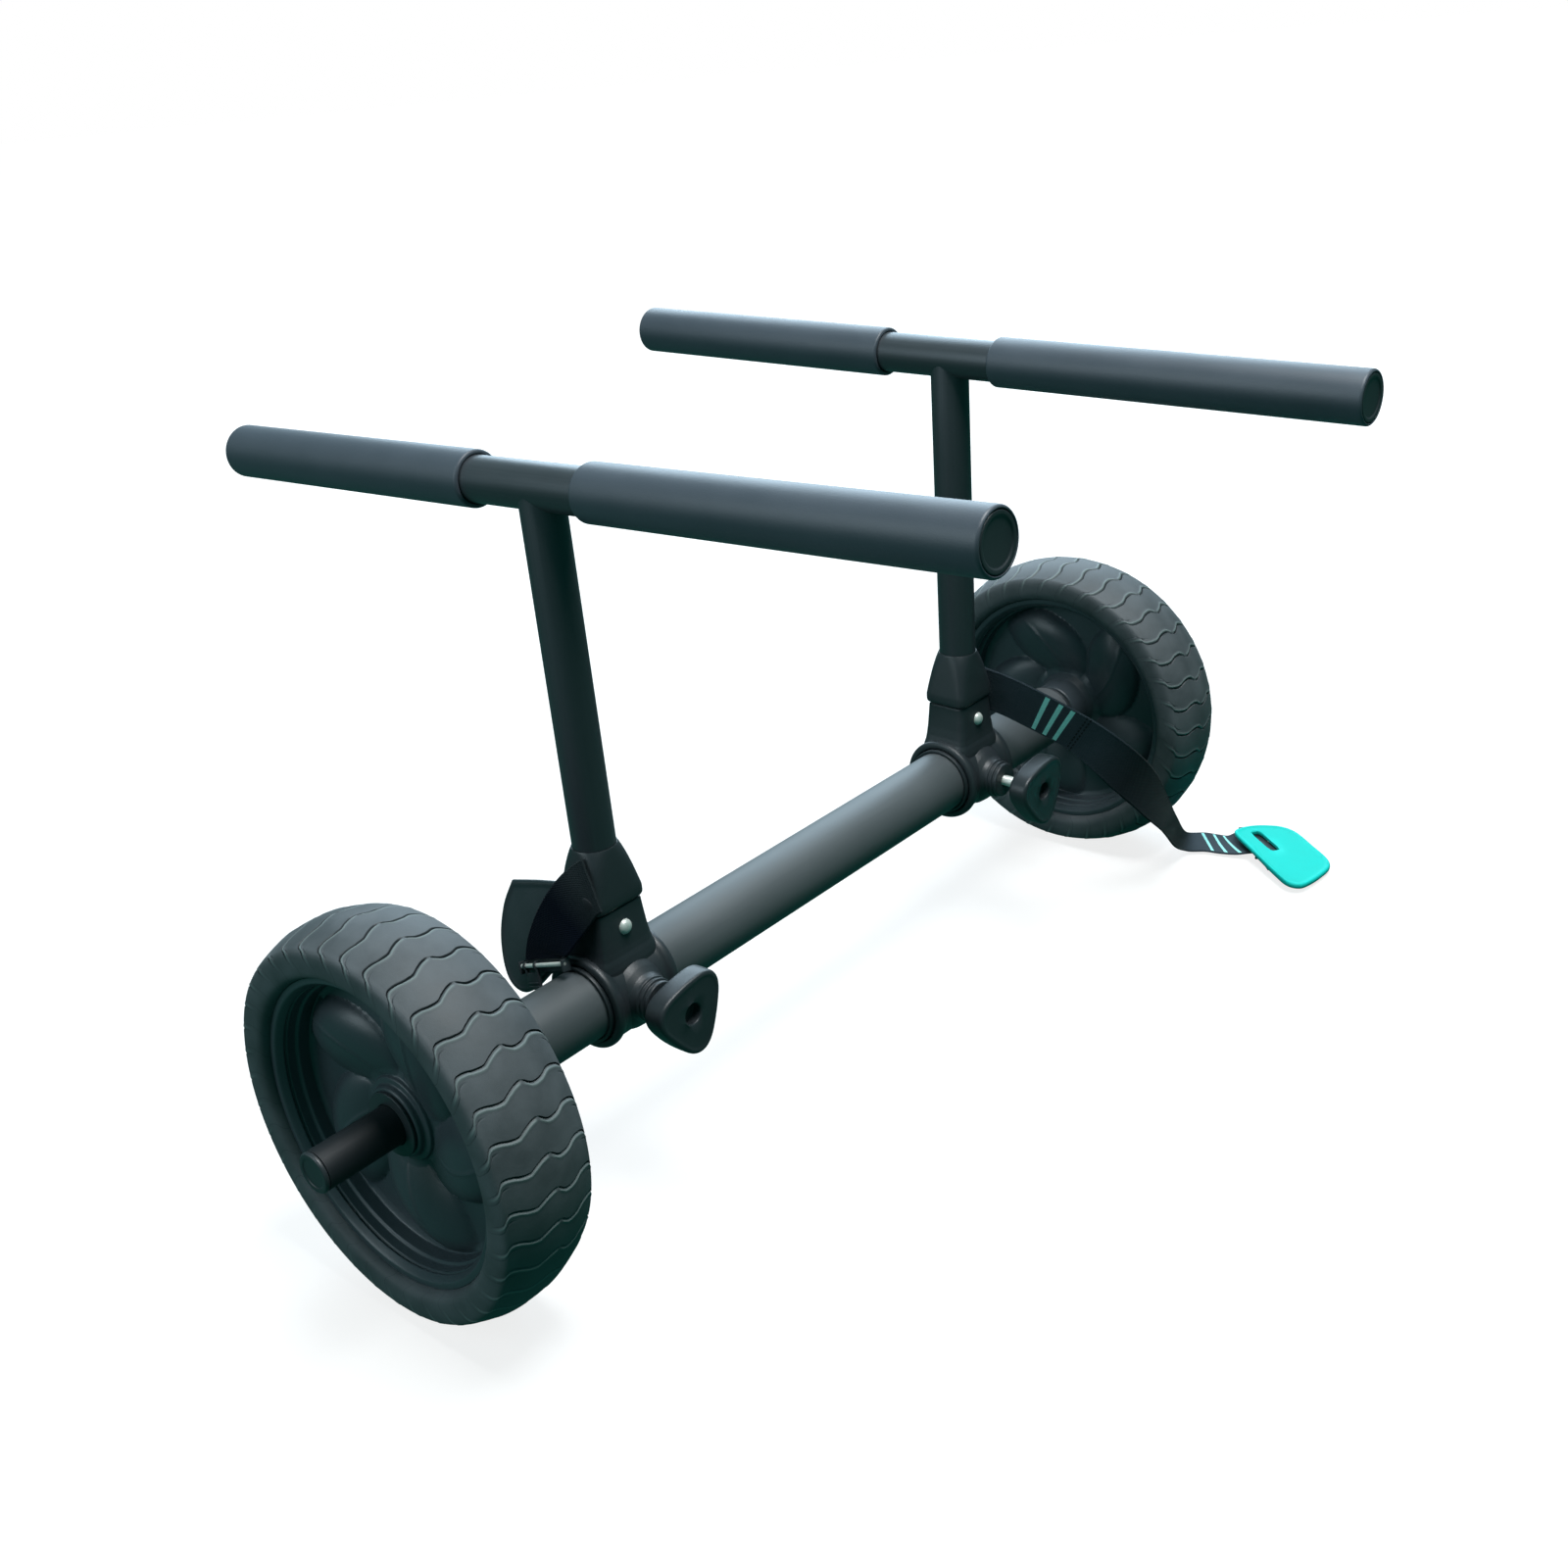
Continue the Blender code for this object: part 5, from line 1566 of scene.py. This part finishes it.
def closed_outline(corners: list, sharp: tuple, steps: int = 10) -> Array:
    """Return a smooth closed outline.

    Each span from b to c, with the slopes m and n, is
    (2t^3-3t^2+1)b + (t^3-2t^2+t)m + (3t^2-2t^3)c + (t^3-t^2)n for t from 0 to 1.

    Args:
        corners: Points of (x, y).
        sharp: The numbers of the corners that stay sharp.
        steps: Points for each span.

    Returns:
        The outline's points, without the first one again.
    """
    points = np.array(corners, float)
    kept = np.isin(np.arange(len(points)), sharp)[:, None]
    before, after = np.roll(points, 1, axis=0), np.roll(points, -1, axis=0)
    slope = (after - before) / 2
    leaving = np.where(kept, after - points, slope)
    arriving = np.roll(np.where(kept, points - before, slope), -1, axis=0)
    t = (np.arange(steps) / steps)[None, :, None]
    curve = (
        (2 * t ** 3 - 3 * t ** 2 + 1) * points[:, None] + (t ** 3 - 2 * t ** 2 + t) * leaving[:, None]
        + (3 * t ** 2 - 2 * t ** 3) * after[:, None] + (t ** 3 - t ** 2) * arriving[:, None]
    )
    return curve.reshape(-1, 2)


@dataclass
class BucklePad:
    """The soft pad on a buckle: a plate with rolled edges, a raised rim and, on the far one, a slot."""

    outline: list
    sharp: tuple = ()
    slot: tuple | None = None
    thick: float = 4.5

    def shell(self) -> Shell:
        """Return the plate's skin.

        The outline is shrunk towards a hole or a middle point, and its height follows how far: a round edge,
        a raised rim and a slightly dished middle.

        Returns:
            The skin, with its middle plane at height 0.
        """
        edge = closed_outline(self.outline, self.sharp)
        edge = np.vstack((edge, edge[:1]))
        middle = np.zeros(2) if self.slot else edge.mean(axis=0)
        ray = edge - middle
        reach = np.linalg.norm(ray, axis=1)
        hole = self.hole_reach(ray / reach[:, None]) if self.slot else np.zeros(len(edge))
        depth = np.array([0, 0.15, 0.5, 1.1, 1.9, 2.7, 3.4, 4.2, 5.2, 6.6])
        drop = np.array([1.0, 0.62, 0.3, 0.08, 0, 0, 0.05, 0.16, 0.2, 0.2])
        rim_tone = np.array([0.4, 0.7, 1, 1, 0.9, 0.5, 0.2, 0, 0, 0])
        room = (reach - hole)[None]
        outer = np.minimum(depth[:, None], room * np.linspace(0, 0.45, len(depth))[:, None])
        share = np.linspace(0, 1, 12)[1:, None]
        inner = outer[-1:] + (room - outer[-1:]) * share
        back = np.vstack((outer, inner))
        height = np.concatenate((drop, np.full(11, 0.2)))
        tone = np.concatenate((rim_tone, np.zeros(11)))
        if self.slot:
            height[-2:] = (0.26, 0.5)
            tone[-3:] = (0.3, 0.8, 0.6)
        spot = middle + (ray / reach[:, None])[None] * (reach[None] - back)[..., None]
        z = self.thick / 2 * (1 - height)[:, None] + 0 * spot[..., 0]
        top = np.concatenate((spot, z[..., None]), axis=-1)
        bottom = top * (1, 1, -1)
        tones = np.broadcast_to(tone[:, None], top.shape[:2])
        points = np.concatenate((top[::-1], bottom))
        tones = np.concatenate((tones[::-1], tones))
        if self.slot:
            points, tones = np.concatenate((points, points[:1])), np.concatenate((tones, tones[-1:]))
        return Shell.of(points, tone=tones)

    def hole_reach(self, direction: Array) -> Array:
        """Return how far the slot reaches in each direction: |x/a|^5 + |y/b|^5 = 1."""
        half = np.array(self.slot) / 2
        return ((np.abs(direction / half) ** 5).sum(axis=1)) ** (-1 / 5)


NEAR_ROUTE = [
    ((14.5, 18.9, 80.5), (-0.50, -0.15, 0.84)), ((9, 20.1, 76.5), (-0.58, -0.12, 0.80)),
    ((3.5, 22.9, 70.5), (-0.66, 0.02, 0.75)), ((-2, 26.6, 63), (-0.72, 0.06, 0.69)),
    ((-9.5, 31.2, 51.5), (-0.84, -0.03, 0.54)), ((-15.8, 34.2, 40.3), (-0.97, -0.036, 0.20)),
    ((-19.4, 35.05, 33.6), (-0.98, 0.029, -0.16)), ((-20.5, 35.7, 29.8), (-0.955, 0.05, -0.297)),
]
NEAR_PAD = [
    (-53, 71), (-31, 76), (-12.5, 79.5), (-11.5, 70), (-8.8, 56), (-6, 42), (-9, 29), (-20, 18),
    (-31, 7), (-43, 0), (-55, 3), (-62, 15), (-64.5, 34), (-61, 54),
]
FAR_ROUTE = [
    ((-11, 207.2, 185), (0.05, 0, 1.0)), ((8, 207.3, 181), (0.1, 0, 1.0)),
    ((29, 211.5, 175), (0.2, 0, 0.98)), ((53, 226, 158.8), (0.42, 0.04, 0.90)),
    ((75, 241, 141), (0.55, 0.12, 0.83)), ((94, 257, 117), (0.45, 0.45, 0.77)),
    ((105, 278, 90), (0.15, 0.8, 0.55)), ((109, 303, 57), (-0.16, 0.97, 0.11)),
    ((106, 320, 40), (-0.22, 0.97, 0.0)), ((101, 343, 18), (-0.3, 0.94, 0.0)),
    ((98, 365, 4.5), (-0.4, 0.91, 0.0)), ((108, 374, 3), (-0.46, 0.89, 0)),
    ((119, 376.5, 3), (-0.5, 0.87, 0)), ((130, 378.5, 4.0), (-0.62, 0.78, 0)),
    ((138.7, 381.0, 7.3), (-0.715, 0.695, 0.068)), ((145.7, 388.4, 6.5), (-0.715, 0.695, 0.068)),
]
FAR_PAD = [
    (-18, 17), (-24, 9), (-25, -3), (-22, -16), (-16, -27), (-4, -33), (20, -33), (40, -32),
    (51, -26), (60, -12), (67, 3), (69, 13), (63, 20), (48, 21), (10, 19),
]


@dataclass
class TieDown(SidePart):
    """One tie-down: its rivet, webbing, cam buckle and soft pad.

    A rivet's place is its x, its height and the shoe's face there. The normals are those of the pads' faces.
    The far pad is turned to its heading and lies at its offset from the buckle.
    """

    near_rivet: tuple = (10.5, 67, 20.6)
    far_rivet: tuple = (0.5, 64.5, 21.35)
    near_normal: tuple = (0, -0.984, 0.177)
    far_normal: tuple = (-0.122, -0.0285, -0.992)
    far_heading: tuple = (0.847, -0.524, -0.089)
    far_offset: tuple = (6.9, -6.3)

    def rivet(self) -> None:
        """Build the rivet that holds the webbing to the shoe's outer face."""
        x, z, face = self.near_rivet if self.side is Side.NEAR else self.far_rivet
        out = face + 0.9 + GAP
        profile = np.array([
            (0, out + 1.1), (2.4, out + 1), (4.6, out + 0.7), (5.5, out + 0.3),
            (5.5, out), (2.2, out), (2.2, 16.3), (0, 16.3),
        ]) * (1, self.side.value)
        place = self.place().inside((x, 0, z), LEVEL)
        self.make("strap_rivet", [turned(profile, Axis.Y, False, steps=48)], "blacked_steel", place=place)

    def buckle_spot(self, end: Array, turn: Array) -> Array:
        """Return where the buckle's pin meets its pad's face, from the webbing's end."""
        return end - turn[:, 1] * 3.5 - turn[:, 2] * 3.0

    def build_near(self) -> None:
        """Build the short near strap, with its buckle on the dark pad beside the collar."""
        support = self.place()
        mirror = np.diag((1.0, -1.0, 1.0))
        stations = [(mirror @ np.array(point), mirror @ np.array(side)) for point, side in NEAR_ROUTE]
        strap = Strap.along(stations, support)
        # The near strap's near black finish is painted shade.
        piece = self.make("strap", [strap.shell()], "near_webbing", slot="black_webbing")
        strap.length
        normal = np.array(self.near_normal)
        turn = plane_turn(-np.array(stations[-1][1], float), normal)
        spot = self.buckle_spot(np.array(stations[-1][0]), turn)
        place = support.inside(tuple(spot), turn)
        Buckle(self.shop, self.side, place, -5, 6, 2.9, 0.0).build()
        face = plane_turn(np.array((1.0, 0, 0)), normal)
        foot = np.array((0, spot @ face[:, 2] / face[1, 2], 0))
        pad = BucklePad(NEAR_PAD, sharp=(0, 2))
        place = support.inside(tuple(foot - face[:, 2] * pad.thick / 2), face)
        self.make("pad", [pad.shell()], "black_rubber", place=place)

    def build_far(self) -> None:
        """Build the long far strap, which hangs to the ground and ends in a buckle under the teal pad."""
        base = Place(np.array((AXLE[0], 0, 0)), LEVEL)
        strap = Strap.along(FAR_ROUTE, base)
        piece = self.make("strap", [strap.shell()], "far_webbing", place=base, slot="black_webbing")
        normal = np.array(self.far_normal)
        turn = plane_turn(-np.array(FAR_ROUTE[-1][1], float), normal)
        spot = self.buckle_spot(strap.route[-1], turn)
        place = base.inside(tuple(spot), turn)
        pieces = Buckle(self.shop, self.side, place, -5, 11, 11, 26).build()
        face = plane_turn(np.array(self.far_heading), normal)
        n = face[:, 2]
        dx, dy = self.far_offset
        middle = spot + (dx, dy, -(dx * n[0] + dy * n[1]) / n[2])
        pad = BucklePad(FAR_PAD, slot=(31, 9))
        place = base.inside(tuple(middle - n * pad.thick / 2), face)
        pieces.append(self.make("pad", [pad.shell()], "teal_rubber", place=place))
        tuple(strap.points[0])
        strap.length
        strap.width
        [tuple(point) for point in strap.points]

    def build(self) -> None:
        """Build the whole tie-down."""
        self.rivet()
        if self.side is Side.NEAR:
            self.build_near()
        else:
            self.build_far()


@dataclass
class Studio:
    """The camera at the photograph's place, three soft lamps, and a floor and a world that look white."""

    eye: tuple = (0.69769, -0.78799, 0.6634)
    right: tuple = (0.75842, 0.64648, -0.08286)
    up: tuple = (-0.17861, 0.32841, 0.92749)
    back: tuple = (0.62682, -0.68863, 0.36454)
    lens: float = 39.272
    shift: tuple = (0.003663, -0.058775)
    ambient: tuple = (0.020, 0.120, 0.115)
    ground: tuple = (0.10, 0.90, 0.70)

    def pose(self, item: bpy.types.Object, *columns: tuple | Array) -> None:
        """Set an object's right, up and back directions and its place."""
        rows = np.vstack((np.array(columns, float).T, (0, 0, 0, 1)))
        item.matrix_world = Matrix(rows.tolist())

    def camera(self) -> None:
        """Place the camera."""
        data = bpy.data.cameras.new("camera")
        data.lens = self.lens
        data.sensor_width = 36.0
        data.shift_x, data.shift_y = self.shift
        data.clip_start = 0.02
        camera = bpy.data.objects.new("camera", data)
        bpy.context.scene.collection.objects.link(camera)
        self.pose(camera, self.right, self.up, self.back, self.eye)
        bpy.context.scene.camera = camera

    def lamp(self, name: str, spot: tuple, aim: tuple, size: float, power: float, colour: tuple) -> None:
        """Add a square area lamp that faces a point.

        Args:
            name: The lamp's name.
            spot: Where it stands.
            aim: The point that it faces.
            size: The length of its side.
            power: Its power in watts.
            colour: Its colour.
        """
        data = bpy.data.lights.new(name, "AREA")
        data.shape = "SQUARE"
        data.size = size
        data.energy = power
        data.color = colour
        lamp = bpy.data.objects.new(name, data)
        bpy.context.scene.collection.objects.link(lamp)
        back = unit(np.array(spot, float) - np.array(aim, float))
        right = unit(np.cross((0.0, 0.0, 1.0), back))
        self.pose(lamp, right, np.cross(back, right), back, spot)

    def floor(self) -> None:
        """Add a wide floor that the camera sees as white paper with soft shadows near the cart.

        It shines towards the camera with 0.81 near the cart, rising to 1 with the distance, on top of its own
        lit colour. To all other rays it is dark with a green tint.
        """
        radius = np.concatenate((np.linspace(0, 3, 13), [6, 12, 24]))
        profile = np.stack((radius, np.full(len(radius), -0.0002)), axis=1)
        item = mesh_piece("floor", [revolve(profile, 64)])
        book = NodeBook("floor_paper")
        x, y, _ = book.split(book.places)
        far = (x * x + y * y).ramp(0.4, 2.2)
        speck = book.noise(300, 3.0)
        seen = book.node("ShaderNodeLightPath", {}, {}, "Is Camera Ray")
        white = seen * (far * 0.19 + 0.81) + (1 - seen) * 0.1
        tint = book.mix(seen, self.ground, (1.0, 1.0, 1.0))
        colour = book.mix(seen, (0.010, 0.030, 0.026), (0.24, 0.24, 0.24))
        light = book.node("ShaderNodeVectorMath", {"operation": "SCALE"}, {0: tint, "Scale": white})
        book.dress(
            Base_Color=colour, Roughness=speck * 0.1 + 0.85, Specular_IOR_Level=0.0,
            Emission_Color=light, Emission_Strength=1.0,
        )
        item.data.materials.append(book.material)

    def world(self) -> None:
        """Set a world that the camera sees as white and that lights the cart with a weak green-blue."""
        world = bpy.data.worlds.new("world")
        bpy.context.scene.world = world
        world.use_nodes = True
        tree = world.node_tree
        shade = tree.nodes["Background"]
        ray = tree.nodes.new("ShaderNodeLightPath")
        mix = tree.nodes.new("ShaderNodeMix")
        mix.data_type = "RGBA"
        factor, dim, white = [socket for socket in mix.inputs if socket.enabled]
        dim.default_value = (*self.ambient, 1.0)
        white.default_value = (1.0, 1.0, 1.0, 1.0)
        tree.links.new(ray.outputs["Is Camera Ray"], factor)
        tree.links.new(next(socket for socket in mix.outputs if socket.enabled), shade.inputs["Color"])

    def build(self) -> None:
        """Set up the whole studio."""
        self.camera()
        self.world()
        self.floor()
        self.lamp("sky", (-1.3, 1.8, 1.6), (0, 0, 0.2), 2.2, 84, (0.68, 0.86, 1.0))
        self.lamp("overhead", (0.6, 0.0, 2.5), (0, 0, 0.2), 1.1, 76, (0.97, 0.99, 1.0))
        self.lamp("left", (-0.9, -2.2, 1.3), (0, -0.2, 0.15), 1.3, 20, (0.80, 0.93, 1.0))
        bpy.context.scene.view_settings.view_transform = "Standard"


def main() -> None:
    """Build the studio and the cart."""
    logging.basicConfig(level=logging.INFO, format="%(name)s: %(message)s")
    Studio().build()
    shop = Workshop()
    for side in (Side.FAR, Side.NEAR):
        TieDown(shop, side).build()
    Axle(shop).build()
    for side in Side:
        for part in (Wheel, ClampCollar, ClampScrew, Upright, LoadBar):
            part(shop, side).build()


if __name__ == "__main__":
    main()
